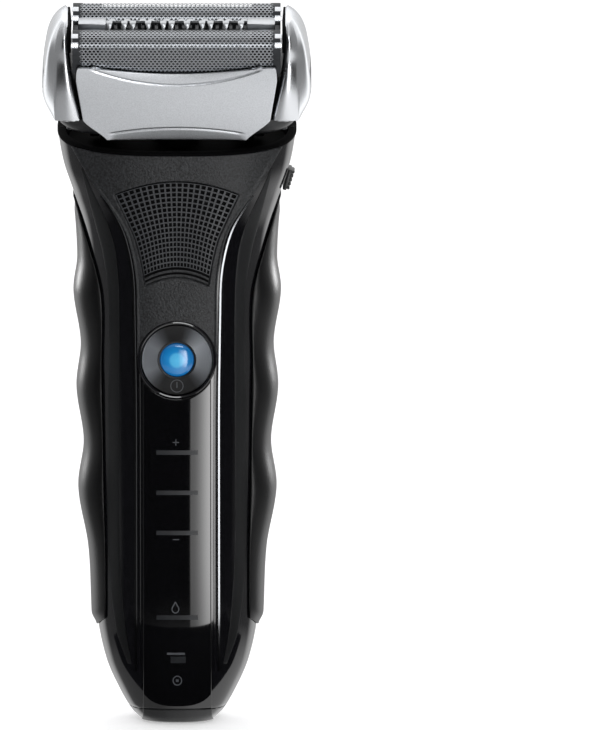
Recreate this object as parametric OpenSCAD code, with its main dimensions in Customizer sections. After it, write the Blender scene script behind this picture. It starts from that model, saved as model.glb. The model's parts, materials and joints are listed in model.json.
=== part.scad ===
// Foil shaver with a tilting three-element head, a pop-up hair trimmer and a two-cell handle.
// Millimetres. +Z is up, -Y is the front and +X is the right side seen from the front.
// The origin is the middle of the flat foot.

/* [Handle] */
// Height of the head's tilt axis above the foot
pivot_z = 134; // [111:1:161]
// Width of the handle at its shoulders
shoulder_w = 52.4; // [43:0.2:63]
// Greatest distance from the split plane to the front face
front_d = 12.6; // [11.6:0.1:15.2]
// Greatest distance from the split plane to the back face
rear_d = 15; // [14.2:0.1:18]
// Wall of the two handle shells
wall = 1.6; // [1.2:0.1:1.9]
// Squareness of the handle's cross section
squareness = 2.6; // [2.3:0.1:3]
// Height of the end cap
cap_h = 3.3; // [2.6:0.1:4]

/* [Front face] */
// Distance from the tilt axis down to the middle of the power button
button_drop = 50.6; // [44:0.2:58]
// Diameter of the fixed ring round the power button
ring_d = 17.5; // [15:0.1:20.5]
// Radial width of that ring
ring_w = 0.75; // [0.5:0.05:1]
// Diameter of the lens in the button
lens_d = 7.6; // [5:0.1:9]
// Press travel of the power button
press = 0.8; // [0.5:0.1:0.9]
// Width of the display window
window_w = 17.6; // [14:0.2:21]
// Thickness of the window and of the thumb panel
skin_t = 0.7; // [0.5:0.1:0.9]

/* [Drive] */
// Diameter of the motor
motor_d = 17; // [14:0.5:18]
// Length of the motor
motor_l = 24; // [20:0.5:29]
// Side travel of the drive each way
stroke = 1.2; // [1:0.1:1.4]
// Diameter of the drive pin
pin_d = 3; // [2.4:0.1:3.6]
// Diameter of the two guide rods
rod_d = 2; // [1.6:0.1:2.4]

/* [Head] */
// Forward lean of the head
cant = 20; // [15:1:24]
// Tilt of the head each way
tilt = 12; // [8:1:12]
// Gap between the tilt axis and the underside of the head
head_gap = 2.8; // [2.8:0.1:3.4]
// Half length of the foils
foil_x = 23; // [21.5:0.1:24.5]
// Outer radius of a foil's arch
foil_r = 4.2; // [3.5:0.1:4.4]
// Thickness of a foil
foil_t = 0.2; // [0.15:0.05:0.3]
// Distance of each foil's middle from the head's middle plane
foil_y = 6.2; // [6:0.05:6.6]
// Height of a foil's crown above the tilt axis, along the head
foil_top = 27.1; // [26.5:0.1:29]
// Spring travel of each foil and of the middle trimmer
float = 1.5; // [1:0.1:1.6]
// Width of the head across its side caps
head_w = 60.4; // [59:0.2:64]
// Thickness of the cassette's front and rear panels
panel_t = 1; // [0.8:0.1:1.4]

/* [Hair trimmer] */
// Width of the pop-up trimmer's housing
trimmer_w = 24; // [20:0.5:29]
// Length of that housing
trimmer_l = 38; // [32:0.5:46]
// Lift of the trimmer
trimmer_lift = 10; // [8:0.5:12]

/* [Fits] */
// Radial clearance of running fits
run = 0.05; // [0.02:0.01:0.1]
// Gap between pieces that move past each other
gap = 0.3; // [0.2:0.05:0.4]
// Gap between fixed pieces that lie on each other
seat = 0.1; // [0.05:0.05:0.2]

/* [Hidden] */
$fn = 48;
eps = 0.01;

// ---- Outline of the handle -------------------------------------------------------------
// Rows of: share of the tilt axis height, then shares of half width, front and rear depth.
outline = [
    [0.000, 0.290, 0.510, 0.467], [0.015, 0.378, 0.635, 0.567], [0.052, 0.492, 0.730, 0.667],
    [0.104, 0.607, 0.825, 0.767], [0.179, 0.683, 0.905, 0.867], [0.300, 0.695, 0.968, 0.953],
    [0.450, 0.710, 1.000, 1.000], [0.600, 0.725, 1.000, 1.000], [0.750, 0.756, 0.976, 0.973],
    [0.835, 0.800, 0.952, 0.947], [0.900, 0.885, 0.952, 0.933], [0.950, 0.966, 0.968, 0.920],
    [1.000, 1.012, 0.984, 0.907]
];
// Rows of: share of the tilt axis height, share of half width at the finger waves.
waves = [
    [0.179, 0.733], [0.293, 0.760], [0.392, 0.845], [0.472, 0.798], [0.562, 0.859],
    [0.638, 0.821], [0.724, 0.882], [0.783, 0.851], [0.888, 0.905], [0.930, 0.955]
];
// Rows of: share of the tilt axis height, share of the handle's own half width there.
thumb = [
    [0.622, 0.460], [0.690, 0.454], [0.761, 0.456], [0.819, 0.510], [0.869, 0.580],
    [0.931, 0.700], [1.000, 0.866]
];

// Row just below z in a table, slope at a row, and a smooth curve through column c.
function row(t, z) = max([for (k = [0 : len(t) - 2]) if (t[k][0] <= z || k == 0) k]);
function slope(t, c, k) =
    let (a = max(k - 1, 0), b = min(k + 1, len(t) - 1)) (t[b][c] - t[a][c]) / (t[b][0] - t[a][0]);
function curve(t, c, z) =
    let (k = row(t, z), d = t[k + 1][0] - t[k][0], u = (z - t[k][0]) / d)
    (2 * u ^ 3 - 3 * u ^ 2 + 1) * t[k][c] + (u ^ 3 - 2 * u ^ 2 + u) * d * slope(t, c, k)
    + (3 * u ^ 2 - 2 * u ^ 3) * t[k + 1][c] + (u ^ 3 - u ^ 2) * d * slope(t, c, k + 1);
function half_w(z) = curve(outline, 1, z / pivot_z) * shoulder_w / 2;
function front(z) = curve(outline, 2, z / pivot_z) * front_d;
function rear(z) = curve(outline, 3, z / pivot_z) * rear_d;

// The top rings lean with the head: their height changes with y by this share.
lean_z = 27;
lean_done = 6;
function lean(z) =
    let (u = max(0, min(1, (z - pivot_z + lean_z) / (lean_z - lean_done)))) u * u * (3 - 2 * u);

// Point of the handle's surface at height z and angle a (0 is +X, 270 is the front), moved
// out by o. The front and rear halves stand off the split plane by rim.
function power_of(v) = sign(v) * abs(v) ^ (2 / squareness);
function handle_point(z, a, o, rim) =
    let (
        s = power_of(sin(a)),
        y = s < 0 ? -rim + s * (front(z) - rim + o) : rim + s * (rear(z) - rim + o)
    )
    [(half_w(z) + o) * power_of(cos(a)), y, z + y * tan(cant) * lean(z)];
// Angle at which the surface stands at a share x of the half width.
function angle_at(x) = acos(min(0.999, x) ^ (squareness / 2));

// A skin from angle a0 to a1: n strips, from offset i in to offset o out.
function strip(z, a0, a1, n, i, o, rim) = concat(
    [for (k = [0 : n]) handle_point(z, a0 + (a1 - a0) * k / n, o[k], rim)],
    [for (k = [n : -1 : 0]) handle_point(z, a0 + (a1 - a0) * k / n, i, rim)]
);
function same(v, n) = [for (k = [0 : n]) v];
function steps(a, b, n) = [for (k = [0 : n]) a + (b - a) * k / n];

// Joins rings of 2n + 2 points, each an outer run and an inner run back, into one solid.
module skin(rings, n) {
    m = 2 * n + 2;
    last = len(rings) - 1;
    polyhedron(
        points = [for (r = rings) for (p = r) p],
        faces = concat(
            [for (j = [0 : last - 1]) for (k = [0 : m - 1])
                let (a = j * m + k, b = j * m + (k + 1) % m) each [[a, a + m, b], [b, a + m, b + m]]],
            [for (k = [0 : n - 1]) [k, k + 1, m - 2 - k, m - 1 - k]],
            [for (k = [0 : n - 1]) let (t = last * m) [t + m - 1 - k, t + m - 2 - k, t + k + 1, t + k]]
        )
    );
}

// Joins convex rings into one solid.
module loft(rings) {
    m = len(rings[0]);
    last = len(rings) - 1;
    polyhedron(
        points = [for (r = rings) for (p = r) p],
        faces = concat(
            [for (j = [0 : last - 1]) for (k = [0 : m - 1])
                let (a = j * m + k, b = j * m + (k + 1) % m) each [[a, a + m, b], [b, a + m, b + m]]],
            [[for (k = [0 : m - 1]) k]],
            [[for (k = [m - 1 : -1 : 0]) last * m + k]]
        )
    );
}
function full_ring(z, o, n) = [for (k = [0 : n - 1]) handle_point(z, 360 * k / n, o, 0)];

module on_head() {
    translate([0, 0, pivot_z]) rotate([cant, 0, 0]) children();
}
module box(x, y, z) {
    translate([x[0], y[0], z[0]]) cube([x[1] - x[0], y[1] - y[0], z[1] - z[0]]);
}
module tube(r, r_in, h) {
    difference() {
        cylinder(r = r, h = h);
        translate([0, 0, -eps]) cylinder(r = r_in, h = h + 2 * eps);
    }
}
module along_x(x, y, z, r, l) {
    translate([x, y, z]) rotate([0, 90, 0]) cylinder(r = r, h = l);
}
module along_y(x, y, z, r, l) {
    translate([x, y, z]) rotate([-90, 0, 0]) cylinder(r = r, h = l);
}
module pair() {
    children();
    mirror([1, 0, 0]) children();
}

// ---- Levels inside the handle ----------------------------------------------------------
rim = 0.3;
shell_z0 = cap_h + seat;
shell_z1 = pivot_z - seat;
waist_in = half_w(0.179 * pivot_z) - wall;
button_z = pivot_z - button_drop;
button_y = -front(button_z);
ring_r = ring_d / 2;
disc_r = ring_r - ring_w - seat;

board_t = 1.2;
frame_t = 1.2;
frame_front = -0.572 * front_d;
frame_back = frame_front + frame_t;
board_front = frame_front - 0.2 - board_t;
board_z0 = 32;
board_z1 = button_z + 11;
board_half = waist_in - 6.3;

shelf_z = pivot_z - 18;
shelf_t = 1.6;
motor_y = 3.4;
motor_z0 = shelf_z - motor_l;
cell_z0 = 26;
wiring_room = 16;
cell_l = motor_z0 - cell_z0 - wiring_room;
cell_side = 2;
cell_r = (waist_in - cell_side - 0.2) / 2;
cell_y = frame_back + 0.2 + cell_r;
shelf_half = half_w(shelf_z) - wall - 6.2;

disc_z = shelf_z + shelf_t + 0.4;
crank_r = 1.2;
crank_top = disc_z + 4.8;
well_r = stroke + stroke + crank_r + 0.2;
bridge_z0 = disc_z + 1.9;
bridge_h = 5;
rod_y = 5.3;
rod_z = bridge_z0 + 1.6;
bridge_y = rod_y + rod_d / 2 + 0.9;
post_x1 = shelf_half - 1;
post_x0 = post_x1 - 2;
bridge_x = post_x0 - stroke - 0.6;
rod_end = post_x1 + 0.6;
pin_top = 8.5;

plate_low = 4.4;
plate_high = 3.0;

// ---- Handle ----------------------------------------------------------------------------
shell_n = 20;
nudge = 0.001;
shell_zs = concat([shell_z0, 6, 10, 15, 20], steps(26, pivot_z - 34, 9),
    steps(pivot_z - 29, shell_z1, 9));
boss_x = waist_in - 8.3;
boss_z = 19;
high_boss_z = pivot_z - 26;
high_boss_x = half_w(high_boss_z) - wall - 5.7;
boss_r = 2.4;
screw_r = 0.9;

module front_shell() {
    color([0.03, 0.03, 0.035])
    difference() {
        union() {
            skin([for (z = shell_zs) strip(z, 180 + nudge, 360 - nudge, shell_n, -wall,
                same(0, shell_n), rim)], shell_n);
            pair() along_y(boss_x, -front(boss_z) + wall - 0.5, boss_z, boss_r,
                front(boss_z) - wall + 0.5 + frame_front - seat);
            pair() along_y(high_boss_x, -front_d * 0.78, high_boss_z, boss_r,
                front_d * 0.78 + frame_front - seat);
        }
        along_y(0, -front_d - 5, button_z, ring_r + run, front_d);
        pair() along_y(boss_x, frame_front - 2, boss_z, screw_r, 3);
        pair() along_y(high_boss_x, frame_front - 2, high_boss_z, screw_r, 3);
    }
}

contact_z = 30;
contact_w = 3;
contact_h = 8;
contact_x = 4;
module rear_shell() {
    color([0.03, 0.03, 0.035])
    difference() {
        skin([for (z = shell_zs) strip(z, 0, 180, shell_n, -wall, same(0, shell_n), rim)], shell_n);
        pair() box([contact_x - contact_w / 2 - seat, contact_x + contact_w / 2 + seat],
            [rear(contact_z) - 3, rear(contact_z) + 3],
            [contact_z - contact_h / 2 - seat, contact_z + contact_h / 2 + seat]);
    }
}

module case_seal() {
    color([0.2, 0.2, 0.2])
    pair() loft([for (z = shell_zs) let (x0 = half_w(z) - wall + 0.3, x1 = half_w(z) - 0.5,
        t = rim - 0.02)
        [[x0, -t, z], [x1, -t, z], [x1, t, z], [x0, t, z]]]);
}

grip_n = 16;
grip_z0 = 0.18 * pivot_z;
grip_z1 = pivot_z - 15;
grip_front = 0.86;
grip_rear = 0.80;
edge_t = 0.55;
function grip_rise(z) = curve(waves, 1, z / pivot_z) * shoulder_w / 2 - half_w(z);
function grip_out(z, n) =
    [for (k = [0 : n]) edge_t + (grip_rise(z) - edge_t) * sin(180 * k / n) ^ 0.8];
module grip() {
    color([0.06, 0.06, 0.065])
    skin([for (z = steps(grip_z0, grip_z1, 34))
        strip(z, -angle_at(grip_front), angle_at(grip_rear), grip_n, 0.15, grip_out(z, grip_n), rim)],
            grip_n);
}

front_n = 14;
skin_gap = 0.2;
module front_skin(zs, half, i, o) {
    skin([for (z = zs) let (a = angle_at(half(z)))
        strip(z, 180 + a, 360 - a, front_n, i, same(o + i, front_n), rim)], front_n);
}
module button_well() {
    along_y(0, -front_d - 5, button_z, ring_r + seat, front_d);
}
module thumb_panel() {
    color([0.2, 0.2, 0.21])
    difference() {
        front_skin(concat(steps(button_z, pivot_z - 27, 6), steps(pivot_z - 24, shell_z1, 8)),
            function (z) curve(thumb, 1, z / pivot_z), skin_gap, skin_t);
        button_well();
    }
}
module display_window() {
    color([0.01, 0.01, 0.012])
    difference() {
        front_skin(concat([shell_z0, 8, 14, 20], steps(28, button_z - 0.3, 5)),
            function (z) min(0.84, window_w / 2 / half_w(z)), skin_gap, skin_t);
        button_well();
    }
}

ring_back = wall + 0.2;
module button_ring() {
    color([0.1, 0.1, 0.11])
    translate([0, button_y - 0.9, button_z]) rotate([-90, 0, 0])
    tube(ring_r, ring_r - ring_w, ring_back + 0.9);
}
lens_t = 1.1;
lens_pocket = 0.8;
module power_button() {
    color([0.08, 0.08, 0.09])
    difference() {
        union() {
            along_y(0, button_y - 0.6, button_z, disc_r, 0.6 + ring_back + 0.1 + 0.35);
            along_y(0, button_y + ring_back + 0.1, button_z, ring_r - 0.15, 0.7);
        }
        along_y(0, button_y - 2, button_z, lens_d / 2 + run, 2 - 0.6 + lens_pocket);
    }
}
module button_lens() {
    color([0.1, 0.6, 0.95])
    translate([0, button_y - 0.6 - 0.35, button_z]) rotate([-90, 0, 0])
    cylinder(r = lens_d / 2, h = lens_t);
}

inlet_x = 4.3;
inlet_y0 = -2.8;
inlet_y1 = 2.8;
inlet_deep = 8;
boss_wall = 1.2;
module end_cap() {
    color([0.05, 0.05, 0.055])
    difference() {
        union() {
            loft([for (h = [0, 0.3, 0.9, cap_h]) full_ring(h, h < 0.2 ? -0.25 : 0, 40)]);
            box([-inlet_x - boss_wall, inlet_x + boss_wall],
                [inlet_y0 - boss_wall, inlet_y1 + boss_wall], [1, inlet_deep + 3]);
        }
        box([-inlet_x, inlet_x], [inlet_y0, inlet_y1], [-1, inlet_deep + 4]);
    }
}
module power_inlet() {
    color([0.12, 0.12, 0.12])
    difference() {
        box([-inlet_x + seat, inlet_x - seat], [inlet_y0 + seat, inlet_y1 - seat],
            [inlet_deep, inlet_deep + 3]);
        pair() translate([inlet_pin_x, inlet_y, inlet_deep - 1]) cylinder(r = inlet_pin_r + run, h = 6);
    }
}
inlet_pin_x = 2.2;
inlet_pin_r = 0.8;
inlet_y = (inlet_y0 + inlet_y1) / 2;
module inlet_pins() {
    color([0.85, 0.75, 0.4])
    pair() translate([inlet_pin_x, inlet_y, inlet_deep - 3]) cylinder(r = inlet_pin_r, h = 8);
}
module station_contacts() {
    color([0.85, 0.82, 0.7])
    pair() box([contact_x - contact_w / 2, contact_x + contact_w / 2],
        [rear(contact_z) - 2, rear(contact_z) + 0.3],
        [contact_z - contact_h / 2, contact_z + contact_h / 2]);
}

// ---- Inside the handle -----------------------------------------------------------------
lug_z0 = 17;
module inner_frame() {
    post_z0 = shelf_z + shelf_t - eps;
    shelf_low = cell_z0 - 2;
    color([0.75, 0.75, 0.72])
    difference() {
        union() {
            box([-boss_x - 1.8, boss_x + 1.8], [frame_front, frame_back], [lug_z0, shelf_z + shelf_t]);
            box([-high_boss_x - 1.8, high_boss_x + 1.8], [frame_front, frame_back],
                [high_boss_z - 3, shelf_z + shelf_t]);
            box([-cell_r * 1.9, cell_r * 1.9], [frame_front, cell_y + 2], [shelf_low, shelf_low + 1.2]);
            box([-cell_r * 1.9, cell_r * 1.9], [frame_front, cell_y + 2],
                [cell_z0 + cell_l + 0.8, cell_z0 + cell_l + 2]);
            box([-shelf_half, shelf_half], [frame_front, motor_y + 6], [shelf_z, shelf_z + shelf_t]);
            pair()
                box([post_x0, post_x1], [motor_y - rod_y - 1.8, motor_y + rod_y + 0.9],
                    [post_z0, rod_z + 1.9]);
        }
        translate([0, motor_y, shelf_z - 1]) cylinder(r = 3, h = 5);
        for (s = [-1, 1]) along_x(-post_x1 - 1, motor_y + s * rod_y, rod_z, rod_d / 2 + 0.02,
            2 * post_x1 + 2);
        pair() along_y(boss_x, frame_front - 1, boss_z, screw_r + 0.2, frame_t + 2);
        pair() along_y(high_boss_x, frame_front - 1, high_boss_z, screw_r + 0.2, frame_t + 2);
    }
}
module circuit_board() {
    color([0.05, 0.3, 0.15])
    box([-board_half, board_half], [board_front, board_front + board_t], [board_z0, board_z1]);
}
led_z = [0, 9.2, 18.2, 37.3];
module board_parts() {
    color([0.15, 0.15, 0.15])
    for (d = led_z) box([-0.8, 0.8], [board_front - 0.7, board_front],
        [board_z0 + 5 + d * 0.6, board_z0 + 6.6 + d * 0.6]);
    color([0.15, 0.15, 0.15])
    pair() for (k = [0 : 2]) box([3, 6.4], [board_front - 0.7, board_front],
        [board_z0 + 2 + 7 * k, board_z0 + 7 + 7 * k]);
}
flange_back = button_y + ring_back + 0.8;
module tact_switch() {
    color([0.7, 0.7, 0.7])
    box([-3, 3], [min(flange_back + press + 0.1, board_front - 0.4), board_front],
        [button_z - 3, button_z + 3]);
}
module battery_cells() {
    color([0.2, 0.55, 0.3])
    pair() translate([cell_r + 0.2, cell_y, cell_z0]) cylinder(r = cell_r, h = cell_l);
}
module battery_tabs() {
    color([0.8, 0.8, 0.8])
    for (z = [cell_z0 - 0.5, cell_z0 + cell_l + 0.1])
        box([-cell_r * 1.6, cell_r * 1.6], [cell_y - 2, cell_y + 2], [z, z + 0.4]);
}
shaft_r = 1;
module motor_can() {
    color([0.7, 0.7, 0.72])
    translate([0, motor_y, motor_z0])
    difference() {
        cylinder(r = motor_d / 2, h = motor_l - seat);
        translate([0, 0, motor_l - 7]) cylinder(r = shaft_r + run, h = 8);
    }
}
module motor_shaft() {
    color([0.6, 0.6, 0.62])
    union() {
        translate([0, motor_y, shelf_z - 6]) cylinder(r = shaft_r, h = disc_z - shelf_z + 6.5);
        translate([0, motor_y, disc_z]) cylinder(r = 3.4, h = 1.6);
        translate([stroke, motor_y, disc_z + 1]) cylinder(r = crank_r, h = crank_top - disc_z - 1);
    }
}
module guide_rods() {
    color([0.8, 0.8, 0.82])
    for (s = [-1, 1]) along_x(-rod_end, motor_y + s * rod_y, rod_z, rod_d / 2, 2 * rod_end);
}
module drive_bridge() {
    color([0.9, 0.9, 0.88])
    difference() {
        translate([0, motor_y, 0]) box([-bridge_x, bridge_x], [-bridge_y, bridge_y],
            [bridge_z0, bridge_z0 + bridge_h]);
        translate([0, motor_y, bridge_z0 - 1]) cylinder(r = well_r, h = crank_top + 0.4 - bridge_z0 + 1);
        for (s = [-1, 1]) along_x(-bridge_x - 1, motor_y + s * rod_y, rod_z, rod_d / 2 + run,
            2 * bridge_x + 2);
    }
}
pin_foot = -(pivot_z - bridge_z0 - bridge_h) / cos(cant) - 0.6;
module drive_pin() {
    color([0.8, 0.8, 0.82])
    difference() {
        on_head() translate([0, 0, pin_foot]) cylinder(r = pin_d / 2, h = pin_top - pin_foot);
        box([-5, 5], [-5, 15], [bridge_z0, bridge_z0 + bridge_h]);
    }
}
ear_x0 = 15;
ear_x1 = 17;
ear_r = 2.4;
pivot_r = 1.5;
lug_x0 = ear_x1 + gap;
lug_x1 = lug_x0 + 2;
module neck_plate() {
    color([0.1, 0.1, 0.1])
    difference() {
        union() {
            loft([for (h = [plate_low, plate_high]) full_ring(pivot_z - h / cos(cant), -wall - 0.25,
                40)]);
            on_head() pair() {
                along_x(ear_x0, 0, 0, ear_r, ear_x1 - ear_x0);
                box([ear_x0, ear_x1], [-ear_r, ear_r], [-plate_high - 0.3, 0]);
            }
        }
        on_head() translate([0, 0, -8]) cylinder(r = pin_d / 2 + stroke + 0.5, h = 8);
        on_head() pair() along_x(ear_x0 - 1, 0, 0, pivot_r + 0.01, 4);
    }
}
module drive_seal() {
    color([0.3, 0.3, 0.3])
    on_head() translate([0, 0, -plate_high + 0.05])
    difference() {
        cylinder(r = 5, h = 2.2);
        translate([0, 0, -1]) cylinder(r = pin_d / 2 + stroke + gap, h = 5);
    }
}
module pivot_pins() {
    color([0.8, 0.8, 0.82])
    on_head() pair() along_x(ear_x0 - 3, 0, 0, pivot_r, lug_x1 - ear_x0 + 3);
}
module pivot_springs() {
    color([0.6, 0.6, 0.62])
    on_head() pair() translate([ear_x0 - 2.4, 0, 0]) rotate([0, 90, 0]) tube(2.3, pivot_r + 0.1, 2.2);
}
module screw(l, head_r) {
    cylinder(r = screw_r - 0.02, h = l);
    translate([0, 0, -1.2]) cylinder(r = head_r, h = 1.2);
}
module case_screws() {
    color([0.55, 0.55, 0.57])
    pair() {
        translate([boss_x, frame_back, boss_z]) rotate([90, 0, 0]) screw(3, 1.8);
        translate([high_boss_x, frame_back, high_boss_z]) rotate([90, 0, 0]) screw(3, 1.8);
    }
}
module head_lock_switch() {
    lock_z = pivot_z - 12.8;
    rise = half_w(lock_z + 3) - half_w(lock_z - 3);
    color([0.1, 0.1, 0.1])
    translate([half_w(lock_z) + 0.35, 0, lock_z]) rotate([0, atan(rise / 6), 0])
    box([0, 1.5], [-3.5, 3.5], [-1.2, 3.8]);
}

// ---- Hair trimmer on the back ----------------------------------------------------------
trim_y0 = rear_d + 0.2;
rail_t = 1.2;
slide_y0 = trim_y0 + rail_t + gap;
slide_t = 3.2;
trim_z1 = pivot_z - 3;
trim_z0 = trim_z1 - trimmer_l;
stop_w = 3;
stop_z0 = trim_z0 + 4;
module trimmer_guide() {
    color([0.05, 0.05, 0.055])
    difference() {
        union() {
            box([-trimmer_w / 2 - 2, trimmer_w / 2 + 2], [trim_y0, trim_y0 + rail_t],
                [trim_z0 - 2, trim_z1 - 4]);
            pair() box([trimmer_w / 2 + gap, trimmer_w / 2 + 2], [trim_y0, slide_y0 + slide_t],
                [trim_z0 - 2, trim_z1 - 4]);
            box([-3, 3], [rear(trim_z1 - 19) + 0.15, trim_y0 + 0.2], [trim_z1 - 12, trim_z1 - 6]);
        }
        box([-stop_w / 2 - gap, stop_w / 2 + gap], [trim_y0 - 1, slide_y0],
            [stop_z0 - gap, stop_z0 + stop_w + trimmer_lift + gap]);
    }
}
module trimmer_slider() {
    color([0.08, 0.08, 0.085])
    difference() {
        union() {
            box([-trimmer_w / 2, trimmer_w / 2], [slide_y0, slide_y0 + slide_t], [trim_z0, trim_z1]);
            box([-stop_w / 2, stop_w / 2], [trim_y0 + 0.3, slide_y0 + eps], [stop_z0, stop_z0 + stop_w]);
        }
        box([-trimmer_w / 2 + 1.5, trimmer_w / 2 - 1.5], [slide_y0 - 1, slide_y0 + slide_t - 1.2],
            [trim_z1 - 6, trim_z1 + 1]);
    }
}
tooth_pitch = 1.5;
teeth = floor((trimmer_w - 4) / tooth_pitch);
module tooth_row(y, z0, z1, root) {
    box([-teeth * tooth_pitch / 2, teeth * tooth_pitch / 2], y, [z0, root]);
    for (k = [0 : teeth - 1]) box([(k - teeth / 2) * tooth_pitch + 0.35,
        (k - teeth / 2) * tooth_pitch + 1.15], y, [root - eps, z1]);
}
comb_y0 = slide_y0 + 0.3;
module trimmer_comb() {
    color([0.75, 0.75, 0.77]) tooth_row([comb_y0 + 0.9, comb_y0 + 1.6], trim_z1 - 5.8, trim_z1 + 1.6,
        trim_z1 - 0.6);
}
module trimmer_blade() {
    color([0.8, 0.8, 0.82]) tooth_row([comb_y0, comb_y0 + 0.8], trim_z1 - 5, trim_z1 + 1.2,
        trim_z1 - 0.6);
}

// ---- Head, in the head's own frame -----------------------------------------------------
floor_t = 1.6;
tray_x = 26;
ring_x = 20.9;
ring_y = foil_y + foil_r + 0.35;
ring_wall = 1.2;
tray_y = ring_y - 0.5;
ring_z0 = head_gap + 5.6;
carrier_z0 = ring_z0 - 2.4;
carrier_z1 = ring_z0 + 2.6;
carrier_x = ring_x - ring_wall - stroke - 0.8;
carrier_y = tray_y - 1.1;
tray_top = ring_z0 - 0.4;
cap_z0 = head_gap + 4.2;
cap_z1 = foil_top + 1.4;
slot_y = pin_d / 2 / cos(tilt) + pin_top * sin(tilt) + 0.3;
screw_x = 23.6;
screw_y = 6;

module head_frame() {
    color([0.08, 0.08, 0.085])
    on_head() difference() {
        union() {
            box([-tray_x, tray_x], [-tray_y, tray_y], [head_gap, head_gap + floor_t]);
            box([-ring_x, ring_x], [-tray_y, -tray_y + 0.8], [head_gap, tray_top]);
            box([-ring_x, ring_x], [tray_y - 0.8, tray_y], [head_gap, tray_top]);
            pair() box([ring_x + 0.2, tray_x], [-tray_y, tray_y], [head_gap, cap_z0 - seat]);
            for (s = [-1, 1]) box([-carrier_x, carrier_x], [s * 6 - 0.8, s * 6 + 0.8],
                [head_gap, carrier_z0 - gap]);
            pair() {
                along_x(lug_x0, 0, 0, ear_r, lug_x1 - lug_x0);
                box([lug_x0, lug_x1], [-ear_r, ear_r], [0, head_gap + 0.2]);
            }
        }
        translate([0, 0, head_gap - 2]) cylinder(r = pin_d / 2 + stroke + 1.2, h = 6);
        pair() along_x(lug_x0 - 1, 0, 0, pivot_r + run, 5);
        pair() for (s = [-1, 1]) translate([screw_x, s * screw_y, head_gap - 1])
            cylinder(r = screw_r + 0.2, h = 10);
    }
}

// Front view of a side cap: inner edge, then the outer edge with its waist.
cap_half = head_w / 2;
cap_front = [
    [21.7, cap_z0], [24.5, cap_z1 - 1.2], [25.1, cap_z1 - 0.3], [26.2, cap_z1], [27.3, cap_z1 - 0.5],
    [cap_half - 1.8, cap_z1 - 3], [cap_half - 1.3, cap_z1 - 6], [cap_half - 0.9, cap_z1 - 9],
    [cap_half - 0.35, cap_z1 - 12], [cap_half, cap_z1 - 15.5], [cap_half - 0.2, cap_z1 - 18],
    [cap_half - 1.5, cap_z1 - 20], [tray_x + 0.5, cap_z0]
];
cap_y = 10.4;
cap_mid = 14;
cap_square = 2.8;
cap_side = concat(
    [[-9.6, cap_z0], [9.6, cap_z0]],
    [for (a = [0 : 10 : 180]) [cap_y * sign(cos(a)) * abs(cos(a)) ^ (2 / cap_square),
        cap_mid + (cap_z1 - cap_mid) * sin(a) ^ (2 / cap_square)]]
);
pocket_x = cap_half - 5;
pocket_z0 = cap_z1 - 21;
pocket_z1 = cap_z1 - 11.4;
pocket_y = 5.4;
pad_travel = 1.2;
module side_cap() {
    color([0.78, 0.79, 0.81])
    on_head() difference() {
        intersection() {
            translate([0, 15, 0]) rotate([90, 0, 0]) linear_extrude(30) polygon(cap_front);
            translate([15, 0, 0]) rotate([90, 0, 90]) linear_extrude(30) polygon(cap_side);
        }
        box([pocket_x, cap_half + 5], [-pocket_y, pocket_y], [pocket_z0, pocket_z1]);
        for (s = [-1, 1]) translate([screw_x, s * screw_y, cap_z0 - 1]) cylinder(r = screw_r, h = 5);
    }
}
module head_screws() {
    color([0.55, 0.55, 0.57])
    on_head() pair() for (s = [-1, 1]) translate([screw_x, s * screw_y, head_gap])
        cylinder(r = screw_r - 0.02, h = 7);
}
module release_button() {
    color([0.6, 0.61, 0.63])
    on_head() box([pocket_x + pad_travel + 0.2, cap_half + 0.2], [-pocket_y + gap, pocket_y - gap],
        [pocket_z0 + gap, pocket_z1 - gap]);
}
post_r = 1;
post_x = 12;
cutter_z0 = carrier_z1 + 4;
cutter_x = carrier_x - 0.3;
post_top = cutter_z0 + 1.5;
module cutter_carrier() {
    color([0.85, 0.85, 0.84])
    on_head() difference() {
        union() {
            box([-carrier_x, carrier_x], [-carrier_y, carrier_y], [carrier_z0, carrier_z1]);
            for (x = [-post_x, post_x]) for (y = [-foil_y, foil_y])
                translate([x, y, carrier_z1 - 1]) cylinder(r = post_r, h = post_top - carrier_z1 + 1);
        }
        box([-pin_d / 2 - run, pin_d / 2 + run], [-slot_y, slot_y], [carrier_z0 - 1, pin_top + 0.7]);
    }
}
arch_z = foil_top - foil_r;
cutter_r = foil_r - foil_t - 0.15;
blade_pitch = 1.5;
module cutter(y) {
    blades = floor(2 * cutter_x / blade_pitch);
    color([0.72, 0.72, 0.74])
    on_head() translate([0, y, 0]) difference() {
        union() {
            along_x(-cutter_x, 0, arch_z, cutter_r, 2 * cutter_x);
            box([-cutter_x, cutter_x], [-cutter_r + 0.9, cutter_r - 0.9], [cutter_z0, arch_z]);
        }
        for (k = [1 : blades - 1]) box([k * blade_pitch - cutter_x - 0.35,
            k * blade_pitch - cutter_x + 0.35],
            [-foil_r - 1, foil_r + 1], [arch_z + 0.8, foil_top + 1]);
        for (x = [-post_x, post_x]) translate([x, 0, cutter_z0 - 1])
            cylinder(r = post_r + run, h = post_top + float + 0.5 - cutter_z0 + 1);
    }
}
module cutter_springs(y) {
    color([0.6, 0.6, 0.62])
    on_head() for (x = [-post_x, post_x])
        translate([x, y, carrier_z1 + 0.05]) tube(1.9, post_r + 0.2, cutter_z0 - carrier_z1 - 0.1);
}

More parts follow.
